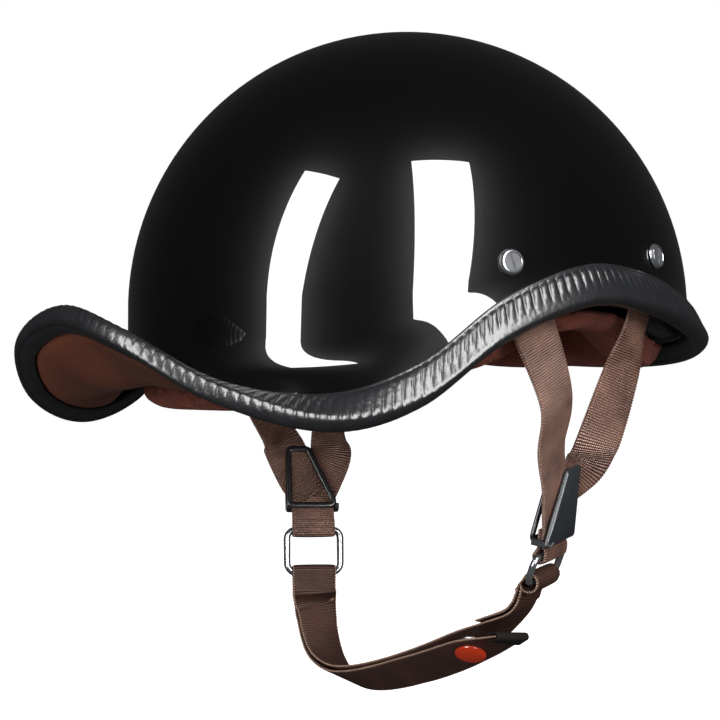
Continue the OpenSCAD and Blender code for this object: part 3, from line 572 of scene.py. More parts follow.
leatherette = grained("peak_leatherette_grain", (124, 70, 50), (136, 78, 56), (98, 54, 39), 0.4, 0.7, 0.07,
    22, Specular_IOR_Level=0.4)
lining_sections = [SkirtSection(a) for a in np.linspace(-lining_half_angle, lining_half_angle, lining_steps)]
lining_points = []
for s in lining_sections:
    lining_points += [lining_spot(s, row, False) for row in range(lining_rows + 1)]
    lining_points += [lining_spot(s, row, True) for row in range(lining_rows, -1, -1)]
lining_count = 2 * lining_rows + 2
lining_faces = tube_faces(lining_steps, lining_count)
for start in (0, lining_count * (lining_steps - 1)):
    lining_faces += [(start + k, start + k + 1, start + lining_count - 2 - k, start + lining_count - 1 - k)
        for k in range(lining_rows)]
lining = new_piece("peak_lining_leatherette", lining_points, lining_faces, leatherette, 60)
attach(lining, "helmet")
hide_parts("peak_lining")

# Foam liner
# The crash liner, one thick bowl of black expanded foam glued inside the shell. Its bead pattern
# shows at the ears, where the pads stop short of the edge.
foam_out = shell_wall + 0.75
foam_in = foam_out + 23
pad_lip = 12
pad_clear = 1.8
foam_around = 144
foam_rows = 28
PAD_ANGLES = [0, 30, 60, 72, 80, 92, 105, 120, 150, 180]
pad_bottoms = [-39, -39, -29, -21.5, -15, -10, -13, -23, -25, -23]


def inner_point(angle, height, depth):
    """Point on a surface set a depth inside the dome, at a height"""
    t = math.radians(angle)
    scale = dome_scale(height, depth)
    return [(dome_half_width - depth) * scale * math.sin(t),
        -(dome_half_length - depth) * scale * math.cos(t), height]


def inner_ring(row, rows, count, low, depth, thick=None):
    """Ring of a liner that follows the dome's inside, a row down from its top to its low edge"""
    ring = []
    for k in range(count):
        t = 360 * k / count
        e = 90 - row / rows * (90 - math.degrees(math.asin(low(t) / (dome_height - depth))))
        d = depth if thick is None else thick(t, e, row / rows)
        ring.append(inner_point(t, (dome_height - d) * math.sin(math.radians(e)), d))
    return ring


def foam_bottom(t):
    """Height of the foam's lower edge, just clear of the pads' rolls"""
    return smooth(PAD_ANGLES, pad_bottoms, t) + pad_lip + pad_clear


foam = grained("liner_foam_beads", (30, 30, 32), (36, 36, 38), (20, 20, 22), 0.75, 3.2, 0.35, 30)
foam_liner = bowl("foam_liner_beaded", [0, 0, dome_height - foam_out],
    [inner_ring(row, foam_rows, foam_around, foam_bottom, foam_out) for row in range(1, foam_rows + 1)]
    + [inner_ring(row, foam_rows, foam_around, foam_bottom, foam_in) for row in range(foam_rows, 0, -1)],
    [0, 0, dome_height - foam_in], foam)
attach(foam_liner, "helmet")
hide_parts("foam_liner")

# Crown liner
# A round quilted cloth cap that presses onto the hook patches. Six sewn channels and a ring of
# stitching draw it in, and it comes out for washing.
crown_out = foam_in + 2.4
crown_wall = 6
crown_above_pads = 45
crown_channels = 6
crown_drawn = 0.35
crown_button = 0.12
crown_seam_at = 0.42
crown_seam_share = 0.06
crown_hem_share = 0.08
crown_around = 180
crown_rows = 44


def crown_bottom(t):
    """Height of the crown liner's hem, over the pads"""
    return smooth(PAD_ANGLES, pad_bottoms, t) + crown_above_pads


def crown_thick(t, e, down):
    """Depth of the quilted face: full between the channels, drawn in along them and at the hem"""
    ray = abs(math.sin(math.radians(crown_channels * t / 2))) ** 0.5
    near_top = min(1, down / crown_button)
    circle = min(1, abs(down - crown_seam_at) / crown_seam_share) ** 0.6
    hem = min(1, (1 - down) / crown_hem_share) ** 0.6
    puffed = (1 - crown_drawn) * (1 - near_top + near_top * ray) * circle * hem
    return crown_out + crown_wall * (crown_drawn + puffed)


pad_cloth = grained("pad_cloth_nap", (110, 60, 50), (136, 74, 62), (84, 43, 36), 0.95, 1.5, 1.0, 9,
    Sheen_Weight=0.25, Sheen_Roughness=0.5, Sheen_Tint=colour(200, 130, 112), Specular_IOR_Level=0.1)
crown = bowl("crown_liner_quilted", [0, 0, dome_height - crown_out],
    [inner_ring(row, crown_rows, crown_around, crown_bottom, crown_out) for row in range(1, crown_rows + 1)]
    + [inner_ring(row, crown_rows, crown_around, crown_bottom, crown_out + crown_wall / 2, crown_thick)
        for row in range(crown_rows, 0, -1)],
    [0, 0, dome_height - crown_out - crown_wall * 0.8], pad_cloth)
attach(crown, "helmet")
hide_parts("crown_liner")

# Comfort pads
# Four pads of brown brushed cloth over soft foam line the rim: brow, two sides and nape. Each is a
# roll under the foam liner's edge with a cushion against the head, sewn shut at its ends.
pad_wall = 8
pad_height = 44
pad_seam = 1.2
pad_spread = 8
pad_spread_end = 64
pad_spread_run = 18
pad_steps = 84
pad_corner_steps = 4
pad_end_fullness = 0.55
pad_pinch = 0.3
pad_pinch_share = 0.035
pad_swell = 0.5
pad_pressure = 6
pad_frames = 20
pad_cap = 3.2
voxel = 3
brow_end = 46
nape_start = 142


def pad_section(t, full):
    """Corner points round a pad at an angle, for how full it is there"""
    b = smooth(PAD_ANGLES, pad_bottoms, t)
    deep = foam_in + 1.5
    face = deep + pad_wall * full
    h = pad_height
    out = pad_spread * max(0, min(1, (pad_spread_end - abs(t)) / pad_spread_run))
    corners = [(b + pad_lip, deep), (b + pad_lip, foam_out + 6.6), (b + 8, foam_out + 7 - 0.75 * out),
        (b + 4, foam_out + 8.8 - out), (b + 4 - 4 * full, deep - 14 - out / 2), (b + 4 - 4 * full, deep - 7),
        (b + 5 - 2 * full, face - 3), (b + 9, face), (b + h / 2, face + 1.5 * full - 1.5),
        (b + h - 7, face), (b + h, deep + 3 * full), (b + h - 4, deep)]
    return [inner_point(t, height, depth) for height, depth in corners]


def through(stations, steps, closed=False):
    """Smooth run through stations, some steps between each two"""
    p = np.asarray(stations, float)
    n = len(p)
    run = []
    for j in range(n if closed else n - 1):
        a, b, c, d = ((p[(j + k) % n] for k in (-1, 0, 1, 2)) if closed
            else (p[min(n - 1, max(0, j + k))] for k in (-1, 0, 1, 2)))
        for k in range(steps):
            u = k / steps
            run.append(0.5 * (2 * b + (c - a) * u + (2 * a - 5 * b + 4 * c - d) * u ** 2
                + (3 * b - a - 3 * c + d) * u ** 3))
    return np.array(run if closed else run + [p[-1]])


def read_points(mesh, what="co"):
    """A mesh's points, or another value of three at each"""
    values = np.empty(len(mesh.vertices) * 3)
    mesh.vertices.foreach_get(what, values)
    return values.reshape(-1, 3)


def place_points(mesh, places):
    """Moves a mesh's points to new places"""
    mesh.vertices.foreach_set("co", places.ravel())
    mesh.update()


def swelled(piece):
    """Blows a sewn shape up a little with cloth, and holds each point within a cap"""
    place_points(piece.data, read_points(piece.data) - read_points(piece.data, "normal") * pad_swell * MM)
    remesh = piece.modifiers.new("voxels", "REMESH")
    remesh.mode = "VOXEL"
    remesh.voxel_size = voxel * MM
    piece.data = finished(piece)
    before = read_points(piece.data)
    cloth = piece.modifiers.new("cloth", "CLOTH").settings
    cloth.use_pressure = True
    cloth.uniform_pressure_force = pad_pressure
    cloth.effector_weights.gravity = 0
    cloth.quality = 4
    for frame_number in range(1, pad_frames + 1):
        scene.frame_set(frame_number)
    blown = finished(piece)
    scene.frame_set(1)
    move = read_points(blown) - before
    size = np.linalg.norm(move, axis=1, keepdims=True)
    move *= np.minimum(1, pad_cap * MM / np.maximum(size, 1e-9)) ** 0.8
    place_points(blown, before + move)
    piece.data = blown
    finer = piece.modifiers.new("finer", "SUBSURF")
    finer.levels = finer.render_levels = 1
    piece.data = finished(piece)
    piece.data.shade_smooth()


def comfort_pad(name, start, end):
    """A pad between two angles, fuller in its middle and pinched shut at its ends"""
    sections = []
    for k in range(pad_steps + 1):
        share = k / pad_steps
        full = pad_end_fullness + (1 - pad_end_fullness) * math.sin(math.pi * share) ** 0.4
        angle = start + pad_seam / 2 + (end - start - pad_seam) * share
        ring = through(pad_section(angle, full), pad_corner_steps, closed=True)
        squeeze = 1 - pad_pinch * (1 - min(1, min(share, 1 - share) / pad_pinch_share)) ** 2
        sections.append(ring.mean(axis=0) + (ring - ring.mean(axis=0)) * squeeze)
    count = len(sections[0])
    pad = new_piece(name + "_sewn", np.vstack(sections), tube_faces(pad_steps + 1, count, capped=True),
        pad_cloth)
    swelled(pad)
    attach(pad, "helmet")
    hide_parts(name)


comfort_pad("brow_pad", -brow_end, brow_end)
comfort_pad("left_side_pad", brow_end, nape_start)
comfort_pad("right_side_pad", -nape_start, -brow_end)
comfort_pad("nape_pad", nape_start, 360 - nape_start)

# Hook patches, burrs and anchor plates
# Small parts inside the shell: black hook-tape discs that hold the crown liner, and the steel burrs
# and plates that spread each rivet's pull behind its strap.
hooks = grained("hook_tape", (22, 22, 24), (30, 30, 32), (14, 14, 15), 0.8, 0.8, 0.3, 6)
plain_steel = grained("plain_steel", (150, 150, 152), (168, 168, 170), (132, 132, 134), 0.42, 0.5, 0.02, 8,
    Metallic=1.0)
for name, made_of in (("hook_patches", hooks), ("rivet_burrs", plain_steel), ("anchor_plates", plain_steel)):
    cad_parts[name].data.materials.clear()
    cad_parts[name].data.materials.append(made_of)

# Strap rivets
# Four polished steel rivets hold the strap ends. Each has a bevelled head with a grey disc set in
# it, and the disc has one plain slot.
front_rivet = (70, 17.5)
rear_rivet = (108.5, 22.7)
rivet_radius = 5.4
rivet_height = 2.2
disc_radius = 3.7
disc_sunk = 0.35
slot_width = 1.1
slot_depth = 0.3
rivet_turns = 64


def dome_normal(p):
    """Direction straight out of the dome at a point"""
    return unit([p[0] / dome_half_width ** 2, p[1] / dome_half_length ** 2, p[2] / dome_height ** 2])


def lathe(name, outline, made_of, turns=rivet_turns, sharp=30):
    """A turned piece about Z from [radius, height] points; a radius of 0 closes it"""
    points = []
    rows = []
    for radius, height in outline:
        if radius == 0:
            rows.append([len(points)] * turns)
            points.append((0, 0, height))
            continue
        rows.append(list(range(len(points), len(points) + turns)))
        points += [(radius * math.cos(2 * math.pi * k / turns), radius * math.sin(2 * math.pi * k / turns),
            height) for k in range(turns)]
    faces = []
    for a, b in zip(rows, rows[1:]):
        for k in range(turns):
            corners = [a[k], a[(k + 1) % turns], b[(k + 1) % turns], b[k]]
            faces.append(tuple(dict.fromkeys(corners)))
    return new_piece(name, points, faces, made_of, sharp)


fixings, fixings_in, fixings_out = geometry_tree("fixings",
    {"Fixing": ("Object", None), "Material": ("Material", None)})
one_fixing = node(fixings, "GeometryNodeObjectInfo", None, Object=fixings_in.outputs["Fixing"])
fixing_way = node(fixings, "GeometryNodeInputNamedAttribute", {"data_type": "FLOAT_VECTOR"}, Name="way")
facing = node(fixings, "FunctionNodeAlignRotationToVector", {"axis": "Z"}, Vector=fixing_way.outputs[0])
set_in = node(fixings, "GeometryNodeInstanceOnPoints", None, Points=fixings_in.outputs["Geometry"],
    Instance=one_fixing.outputs["Geometry"], Rotation=facing.outputs[0])
close_tree(fixings, set_in.outputs[0], fixings_in.outputs["Material"], fixings_out)


def loose_points(name, places, pairs=()):
    """A piece of bare points in millimetres, joined in pairs, for a tree to grow on"""
    mesh = bpy.data.meshes.new(name)
    mesh.from_pydata((np.asarray(places) * MM).tolist(), list(pairs), [])
    piece = bpy.data.objects.new(name, mesh)
    scene.collection.objects.link(piece)
    return piece


def at_rivets(name, fixing, made_of):
    """A piece with a copy of one fixing at each rivet's place, facing out of the dome"""
    places = [dome_point(side * angle, lift_of(height)) for side in (1, -1)
        for angle, height in (front_rivet, rear_rivet)]
    piece = loose_points(name, places)
    piece.data.attributes.new("way", "FLOAT_VECTOR", "POINT").data.foreach_set("vector",
        np.array([dome_normal(p) for p in places]).ravel())
    grow(piece, fixings, Fixing=fixing, Material=made_of)
    piece.data.set_sharp_from_angle(angle=math.radians(30))
    bpy.data.objects.remove(fixing)
    return piece


chrome = grained("chrome_polish", (150, 152, 156), (160, 162, 166), (120, 122, 126), 0.2, 0.4, 0.01, 5,
    Metallic=0.7)
disc_grey = grained("disc_anodised", (92, 93, 96), (112, 113, 116), (72, 73, 76), 0.62, 0.5, 0.06, 3,
    Metallic=0.3, Specular_IOR_Level=0.3)
head = lathe("rivet_head", [(0, 0.25), (rivet_radius, 0.25), (rivet_radius, 0.6),
    (rivet_radius - 0.25, 1.2), (rivet_radius - 0.8, rivet_height - 0.15), (rivet_radius - 1.3, rivet_height),
    (disc_radius + 0.15, rivet_height), (disc_radius + 0.02, rivet_height - 0.15),
    (disc_radius, rivet_height - disc_sunk - 0.2), (0, rivet_height - disc_sunk - 0.2)], chrome)
rivets = at_rivets("strap_rivets_polished", head, chrome)
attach(rivets, "helmet")
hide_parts("strap_rivets")

disc_face = rivet_height - disc_sunk
disc_wall = 0.45
slot_bevel = 0.12


def slotted_disc():
    """A flat disc whose rows of points run across it, sunk where the slot is"""
    slot_edge = slot_width / 2 + slot_bevel
    rows = ([-disc_radius + 0.02] + list(np.linspace(-disc_radius, -slot_edge, 10)[1:])
        + [-slot_width / 2, slot_width / 2] + list(np.linspace(slot_edge, disc_radius, 10)[:-1])
        + [disc_radius - 0.02])
    points = []
    for y in rows:
        half = math.sqrt(max(0.001, (disc_radius - 0.03) ** 2 - y * y))
        low = slot_depth if abs(y) <= slot_width / 2 + 0.01 else 0
        points += [(-half, y, disc_face - disc_wall), (-half, y, disc_face - low),
            (half, y, disc_face - low), (half, y, disc_face - disc_wall)]
    return new_piece("disc", points, tube_faces(len(rows), 4, capped=True), disc_grey, 30)


discs = at_rivets("rivet_discs_slotted", slotted_disc(), disc_grey)
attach(discs, "helmet")
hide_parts("rivet_discs")

# Strap legs
# Four legs of brown polyester webbing, two a side. Each comes down from its rivet between shell and
# foam, leaves under the edge trim, and turns to enter the divider over the cheek.
strap_width = 20
strap_thickness = 1.6
leg_depth = shell_wall + 1.3 + strap_thickness / 2
leg_start = 9
leg_end = 9
leg_offset = strap_thickness / 2 + 0.06
weave_pitch = 1.1
yarn_pitch = 0.95
selvage_pitch = 1.25
bead_length = 1.05
bead_width = 0.62
scallop = 0.22
strap_step = 0.42
steps_between = 24


class HarnessSide:
    """One side of the harness, drawn from the upper bar of its rings"""

    def __init__(self, bar, turn, ring_lean, pitch, lift, ring_height, roll, lean):
        self.bar = np.array(bar, float)
        self.ring_lean, self.lean = ring_lean, lean
        self.pitch, self.lift, self.ring_height = pitch, lift, ring_height
        t, r = math.radians(turn), math.radians(roll)
        flat = np.array([math.cos(t), math.sin(t), 0])
        self.away = np.array([-math.sin(t), math.cos(t), 0])
        self.wide = math.cos(r) * flat + np.array([0, 0, math.sin(r)])
        self.up = np.array([0, 0, math.cos(r)]) - math.sin(r) * flat

    def out(self, lean):
        """Direction out of the webbing, where it leans by an angle"""
        return math.cos(math.radians(lean)) * self.away - math.sin(math.radians(lean)) * self.up

    def rise(self, lean):
        """Direction up the webbing, where it leans by an angle"""
        return math.sin(math.radians(lean)) * self.away + math.cos(math.radians(lean)) * self.up

    def hung(self, across, out, up):
        """Point measured from the rings' upper bar, along the webbing above it"""
        return self.bar + across * self.wide + out * self.out(self.lean) + up * self.rise(self.lean)

    def slung(self, across, out, up):
        """Point measured from the rings' lower bar, in the rings' own plane"""
        return (self.bar + across * self.wide + out * self.out(self.ring_lean)
            + (up - self.ring_height) * self.rise(self.ring_lean))


left = HarnessSide([79.4, 4.6, -101.8], -75, 24, 0, 21, 12, -8, 10)
right = HarnessSide([-78, 7.7, -102.5], 54, 8, 3.4, 25.5, 20.6, 0, 20)
# Each leg: side, which way round the shell, rivet, angle where it leaves the shell, two free points
# [x, y, z, way it faces], two points from the divider's centre [across, out, up, turn], and its layer
LEGS = {
    "left_front_leg": (left, 1, front_rivet, 76.5, ((101, -14.5, -37, 0), (92.8, -8.6, -57, 7)),
        ((6, 1.8, 12, 0), (3, 1.3, 1, 0)), 1),
    "left_rear_leg": (left, 1, rear_rivet, 104.5, ((99.2, 27, -27, -6), (94.6, 18.6, -54, -22)),
        ((-17.5, 4.2, 14.5, 0.8), (-9, -1.2, 2, 0)), -1),
    "right_front_leg": (right, -1, front_rivet, 78, ((-101, -11.5, -36, 197), (-97.5, 1, -56, 182)),
        ((-13, -1.7, 14.5, 0), (-6.5, -1.2, 0, 0)), -1),
    "right_rear_leg": (right, -1, rear_rivet, 104.5, ((-99, 35.5, -36, 166), (-91, 28.5, -56, 172)),
        ((9.5, 1.8, 13, 0), (5, 1.2, 1, 0)), 1),
}


def skirt_inside(angle, height, depth):
    """Point a depth inside the shell, below the dome"""
    t = math.radians(angle)
    return np.array([(dome_half_width - depth) * math.sin(t), -(dome_half_length - depth) * math.cos(t),
        height])


def leg_stations(side, s, rivet, leaves, free, entries, layer):
    """Stations [centre, outward] of a leg, from above its rivet to its end in the divider"""
    lean_out = side.out(side.lean)
    top = dome_point(s * (1.4 * rivet[0] - 0.4 * leaves), lift_of(rivet[1] + leg_start), leg_depth)
    on_rivet = dome_point(s * rivet[0], lift_of(rivet[1]), leg_depth)
    n = dome_normal(on_rivet)
    level = unit([n[0], n[1], 0])
    between = s * (rivet[0] * 0.45 + leaves * 0.55)
    stations = [(top, dome_normal(top)), (on_rivet, n), (skirt_inside(between, 4, leg_depth + 0.2), level),
        (skirt_inside(s * leaves, -9, leg_depth + 1.6), level)]
    for x, y, z, facing in free:
        stations.append(((x, y, z), (math.cos(math.radians(facing)), math.sin(math.radians(facing)), 0)))
    for across, out, up, turn in entries:
        stations.append((side.hung(across, out, side.lift + up), unit(lean_out + turn * side.wide)))
    return stations + [(side.hung(0, layer * leg_offset, side.lift - leg_end), lean_out)]


def even_path(stations, step):
    """Smooth path through [centre, outward] stations, with its points a step apart"""
    flat = through([np.concatenate([c, n]) for c, n in stations], steps_between)
    runs = runs_along(flat[:, :3])
    count = max(4, round(runs[-1] / step))
    at = np.linspace(0, runs[-1], count + 1)
    return np.column_stack([np.interp(at, runs, flat[:, k]) for k in range(6)]), at


# Weave: cross ribs over yarns, and slow patches of painted sheen, along the piece's own map
weave, weave_in, weave_out = new_tree("webbing_weave", "ShaderNodeTree",
    {"Rib Pitch": ("Float", weave_pitch), "Yarn Pitch": ("Float", yarn_pitch)},
    {"Height": "Float", "Crest": "Float", "Fade": "Float"})
lie = node(weave, "ShaderNodeUVMap", {"uv_map": "lie"}).outputs[0]
lie_xy = node(weave, "ShaderNodeSeparateXYZ", None, Vector=lie)
jitter = node(weave, "ShaderNodeTexNoise", None, Vector=lie, Scale=420.0, Detail=2.0)


def wave_over(length, pitch, shift):
    """A 0 to 1 wave along one of the webbing's directions, bent a little by noise"""
    bent = maths(weave, "MULTIPLY_ADD", jitter.outputs["Fac"], 2.2, shift)
    phase = maths(weave, "MULTIPLY_ADD", maths(weave, "DIVIDE", length, pitch), 2 * math.pi / MM, bent)
    return maths(weave, "MULTIPLY_ADD", maths(weave, "SINE", phase), 0.5, 0.5)


cross_rib = wave_over(lie_xy.outputs["Y"], weave_in.outputs["Rib Pitch"], 0.0)
yarn = wave_over(lie_xy.outputs["X"], weave_in.outputs["Yarn Pitch"], 1.0)
woven = maths(weave, "MULTIPLY", cross_rib, yarn)
# Broad noise patches that lighten the colour: painted sheen standing in for the satin webbing's bright bands
sheen_patches = node(weave, "ShaderNodeTexNoise", None, Vector=lie, Scale=42.0, Detail=3.0)
sheen_patch_share = node(weave, "ShaderNodeMapRange", None, Value=sheen_patches.outputs["Fac"], From_Min=0.36, From_Max=0.66)
feed(weave, weave_out.inputs["Height"], maths(weave, "MULTIPLY_ADD", cross_rib, 1.6, woven))
feed(weave, weave_out.inputs["Crest"], woven)
feed(weave, weave_out.inputs["Fade"], sheen_patch_share.outputs["Result"])


def webbing_finish(name, shaded_groove, lit_crest, roughness, rib_height, sheen, gloss):
    """Woven webbing: dark in its grooves as painted shade, lighter on its ribs' crests as a painted highlight
    and in patches of painted sheen
    """
    made = finish(name, shaded_groove, roughness, Sheen_Weight=sheen, Sheen_Roughness=0.35,
        Sheen_Tint=lit_crest, Specular_IOR_Level=gloss, Specular_Tint=colour(238, 212, 202))
    tree = made.node_tree
    effect = node(tree, "ShaderNodeGroup", {"node_tree": weave})
    # The colour share: painted highlight on the crests, plus the painted sheen patches
    soft_crest = maths(tree, "MULTIPLY", effect.outputs["Crest"], 0.6)
    lit = maths(tree, "MULTIPLY_ADD", effect.outputs["Fade"], 0.6, soft_crest, clamp=True)
    return textured(made, effect.outputs["Height"], rib_height, lit, shaded_groove, lit_crest)


# Groove colour is painted shade, crest colour a painted highlight
strap_webbing = webbing_finish("strap_webbing_weave", colour(66, 39, 32), colour(178, 134, 114), 0.42, 0.2,
    0.15, 0.9)
selvage_thread = grained("selvage_thread", (150, 112, 96), (160, 120, 104), (124, 88, 74), 0.6, 0.3, 0.05, 3)
section_turns = np.concatenate([np.linspace(0, math.pi, 13), np.linspace(math.pi, 2 * math.pi, 13)[1:-1]])


def webbing(name, stations, made_of, width=strap_width, thickness=strap_thickness, edge=scallop):
    """Webbing along [centre, outward] stations, with scalloped edges; returns it and its edge lines"""
    path, at = even_path(stations, strap_step)
    way = np.gradient(path[:, :3], axis=0)
    way /= np.linalg.norm(way, axis=1, keepdims=True)
    wide = np.cross(way, path[:, 3:])
    wide /= np.linalg.norm(wide, axis=1, keepdims=True)
    thick = np.cross(wide, way)
    halves, rises = np.cos(section_turns), np.sin(section_turns)
    rises = np.sign(rises) * np.abs(rises) ** 0.3
    count = len(halves)
    points = []
    for j in range(len(path)):
        half = width / 2 - edge * 0.5 * (1 - math.cos(2 * math.pi * at[j] / selvage_pitch))
        points.append(path[j, :3] + np.outer(halves * half, wide[j])
            + np.outer(rises * thickness / 2, thick[j]))
    faces = tube_faces(len(path), count)
    for first in (0, count * (len(path) - 1)):
        faces += [(first + k, first + k + 1, first + (count - 1 - k) % count, first + (count - k) % count)
            for k in range(count // 2)]
    faces = [tuple(dict.fromkeys(f)) for f in faces]
    piece = new_piece(name, np.vstack(points), faces, made_of)
    lies = np.column_stack([np.tile(halves * width / 2 * MM, len(path)), np.repeat(at * MM, count)])
    corners = np.empty(len(piece.data.loops), int)
    piece.data.loops.foreach_get("vertex_index", corners)
    piece.data.uv_layers.new(name="lie").data.foreach_set("uv", lies[corners].ravel())
    edges = [path[:, :3] + s * wide * (width / 2 - edge * 0.6) for s in (1, -1)]
    return piece, edges


# Beads: one small loop of thread after another along a line
beads, beads_in, beads_out = geometry_tree("beads", {"Pitch": ("Float", 0.00125),
    "Length": ("Float", 0.001), "Width": ("Float", 0.0005), "Material": ("Material", None)})
as_curve = node(beads, "GeometryNodeMeshToCurve", None, Mesh=beads_in.outputs["Geometry"])
spaced = node(beads, "GeometryNodeResampleCurve", {"mode": "LENGTH"}, Curve=as_curve.outputs[0],
    Length=beads_in.outputs["Pitch"])
along_line = node(beads, "FunctionNodeAlignRotationToVector", {"axis": "X"},
    Vector=node(beads, "GeometryNodeInputTangent").outputs[0])
ball = node(beads, "GeometryNodeMeshUVSphere", None, Segments=8, Rings=5, Radius=0.5)
bead_size = node(beads, "ShaderNodeCombineXYZ", None, X=beads_in.outputs["Length"],
    Y=beads_in.outputs["Width"], Z=beads_in.outputs["Width"])
strung = node(beads, "GeometryNodeInstanceOnPoints", None, Points=spaced.outputs[0],
    Instance=ball.outputs["Mesh"], Rotation=along_line.outputs[0], Scale=bead_size.outputs[0])
close_tree(beads, strung.outputs[0], beads_in.outputs["Material"], beads_out)


def bead_rows(name, lines, length, width, made_of):
    """The selvage's thread beads along lines of points, as one piece"""
    pairs = []
    first = 0
    for line in lines:
        pairs += [(first + k, first + k + 1) for k in range(len(line) - 1)]
        first += len(line)
    piece = loose_points(name, np.vstack(lines), pairs)
    return grow(piece, beads, Pitch=selvage_pitch * MM, Length=length * MM, Width=width * MM,
        Material=made_of)


def leg_bend(piece):
    """Bakes a leg's placement into its points; the leg stays unattached to any body"""
    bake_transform(piece)


for name, leg in LEGS.items():
    stations = leg_stations(*leg)
    piece, edges = webbing(name + "_webbing", stations, strap_webbing)
    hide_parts(name)
    leg_bend(piece)
    selvage = bead_rows(name + "_selvage", edges, bead_length, bead_width, selvage_thread)
    leg_bend(selvage)

# Strap loops
# Below each divider the two legs are one doubled band of webbing, which passes round the upper bars
# of the rings and is sewn to itself above them.
ring_wire = 3
loop_gap = 0.3
eye_height = ring_wire / 2 + 0.35 + strap_thickness / 2


def loop_stations(side):
    """Stations down the doubled band's outer layer, round the bars and up its inner layer"""
    first = side.lift - leg_end - loop_gap
    shoulder = (leg_offset + side.pitch / 2 + eye_height) / 2
    turns = [math.radians(22.5 * k) for k in range(5)]
    eye = ([(leg_offset, first), (leg_offset, 6.2), (shoulder, 3.6)]
        + [(side.pitch / 2 + eye_height * math.cos(a), -eye_height * math.sin(a)) for a in turns]
        + [(-side.pitch / 2 - eye_height * math.sin(a), -eye_height * math.cos(a)) for a in turns]
        + [(-shoulder, 3.6), (-leg_offset, 6.2), (-leg_offset, first)])
    run = [side.hung(0, m, z) if z > 5 else side.slung(0, m, z + side.ring_height) for m, z in eye]
    ways = [unit(run[min(len(run) - 1, j + 1)] - run[max(0, j - 1)]) for j in range(len(run))]
    return [(c, np.cross(side.wide, w)) for c, w in zip(run, ways)]


for name, side in (("left_strap_loop", left), ("right_strap_loop", right)):
    piece, edges = webbing(name + "_webbing", loop_stations(side), strap_webbing)
    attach(piece, "harness")
    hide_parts(name)
    selvage = bead_rows(name + "_selvage", edges, bead_length, bead_width, selvage_thread)
    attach(selvage, "harness")

# Dividers
# Black nylon slides that gather each pair of legs. Outside is a three-cornered plate with a raised
# edge, inside an open wire-like frame, and two posts join them beside the webbing.
divider_height = 31
divider_bottom = 26
divider_top = 12
divider_wall = 1.6
divider_bar = 2.8
divider_half = 2.9
rim_inset = 0.6
rim_radius = 0.42
post_thick = (1.8, 2.6)
nylon = grained("divider_nylon", (26, 27, 30), (30, 31, 34), (20, 21, 23), 0.3, 0.8, 0.03, 6,
    Specular_IOR_Level=0.5)
# Lighter slate copy of the black nylon, for the near (left) plate only: painted light where it faces the
# lamps
lit_slate_nylon = grained("divider_nylon_lit", (46, 50, 56), (54, 58, 64), (36, 39, 44), 0.42, 0.7, 0.06, 5)
# Light grey on the black nylon's raised edge: a painted highlight along the rim
highlight_rim_nylon = grained("divider_rim_painted_highlight", (118, 124, 130), (130, 136, 142), (96, 101, 107), 0.3, 0.5, 0.02,
    4)


def rounded_outline(corners, radius, steps=6):
    """Outline round corners given in turn, with each corner an arc"""
    outline = []
    count = len(corners)
    for k in range(count):
        a, b, c = (np.array(corners[(k + d) % count], float) for d in (-1, 0, 1))
        r = radius[k] if isinstance(radius, (list, tuple)) else radius
        to_a, to_c = unit(a - b), unit(c - b)
        half = math.acos(max(-1, min(1, float(to_a @ to_c)))) / 2
        reach = min(r / math.tan(half), 0.45 * np.linalg.norm(a - b), 0.45 * np.linalg.norm(c - b))
        start, end = b + to_a * reach, b + to_c * reach
        for j in range(steps + 1):
            u = j / steps
            outline.append((1 - u) ** 2 * start + 2 * u * (1 - u) * b + u ** 2 * end)
    return np.array(outline)


def wire_round(name, line, up, half_wide, half_deep, made_of, turns=16, power=1.0):
    """A closed wire along a flat line of points, its section a rounded oblong"""
    count = len(line)
    sections = []
    for j in range(count):
        way = unit(line[(j + 1) % count] - line[j - 1])
        side_way = np.cross(up, way)
        ring = []
        for k in range(turns):
            a = 2 * math.pi * k / turns
            x = math.copysign(abs(math.cos(a)) ** power, math.cos(a)) * half_wide
            y = math.copysign(abs(math.sin(a)) ** power, math.sin(a)) * half_deep
            ring.append(line[j] + side_way * x + np.asarray(up) * y)
        sections.append(ring)
    return new_piece(name, np.vstack(sections), tube_faces(count, turns, joined=True), made_of)


def open_wire(name, line, up, radius, made_of, turns=10):
    """A round wire along an open line, with its ends rounded off"""
    count = len(line)
    sections = []
    for j in range(count):
        way = unit(line[min(count - 1, j + 1)] - line[max(0, j - 1)])
        side_way = unit(np.cross(up, way))
        rise = np.cross(way, side_way)
        r = radius * (0.35 if j in (0, count - 1) else 1)
        sections.append([line[j] + r * (math.cos(2 * math.pi * k / turns) * side_way
            + math.sin(2 * math.pi * k / turns) * rise) for k in range(turns)])
    return new_piece(name, np.vstack(sections), tube_faces(count, turns, capped=True), made_of)


def divider_corners(inset):
    """Corners [across, up]: upright at the back, slanting from the top to the foot in front"""
    slant = (divider_bottom - divider_top) / divider_height
    b, h = divider_bottom / 2, divider_height / 2 - inset
    side_inset = inset * math.hypot(1, slant)
    return [(inset - b, -h), (b - side_inset - slant * inset, -h),
        (divider_top - b - side_inset + slant * inset, h), (inset - b, h)]


def divider_frame(side, body, name, made_of):
    """The open frame on the inner face"""
    outline = rounded_outline(divider_corners(divider_bar / 2), 2.4)
    m = -divider_half - divider_wall / 2
    line = np.array([side.hung(a, m, side.lift + z) for a, z in outline])
    piece = wire_round(name + "_moulded", line, side.out(side.lean), divider_bar / 2, divider_wall / 2 + 0.1,
        made_of, power=0.7)
    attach(piece, body)
    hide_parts(name)


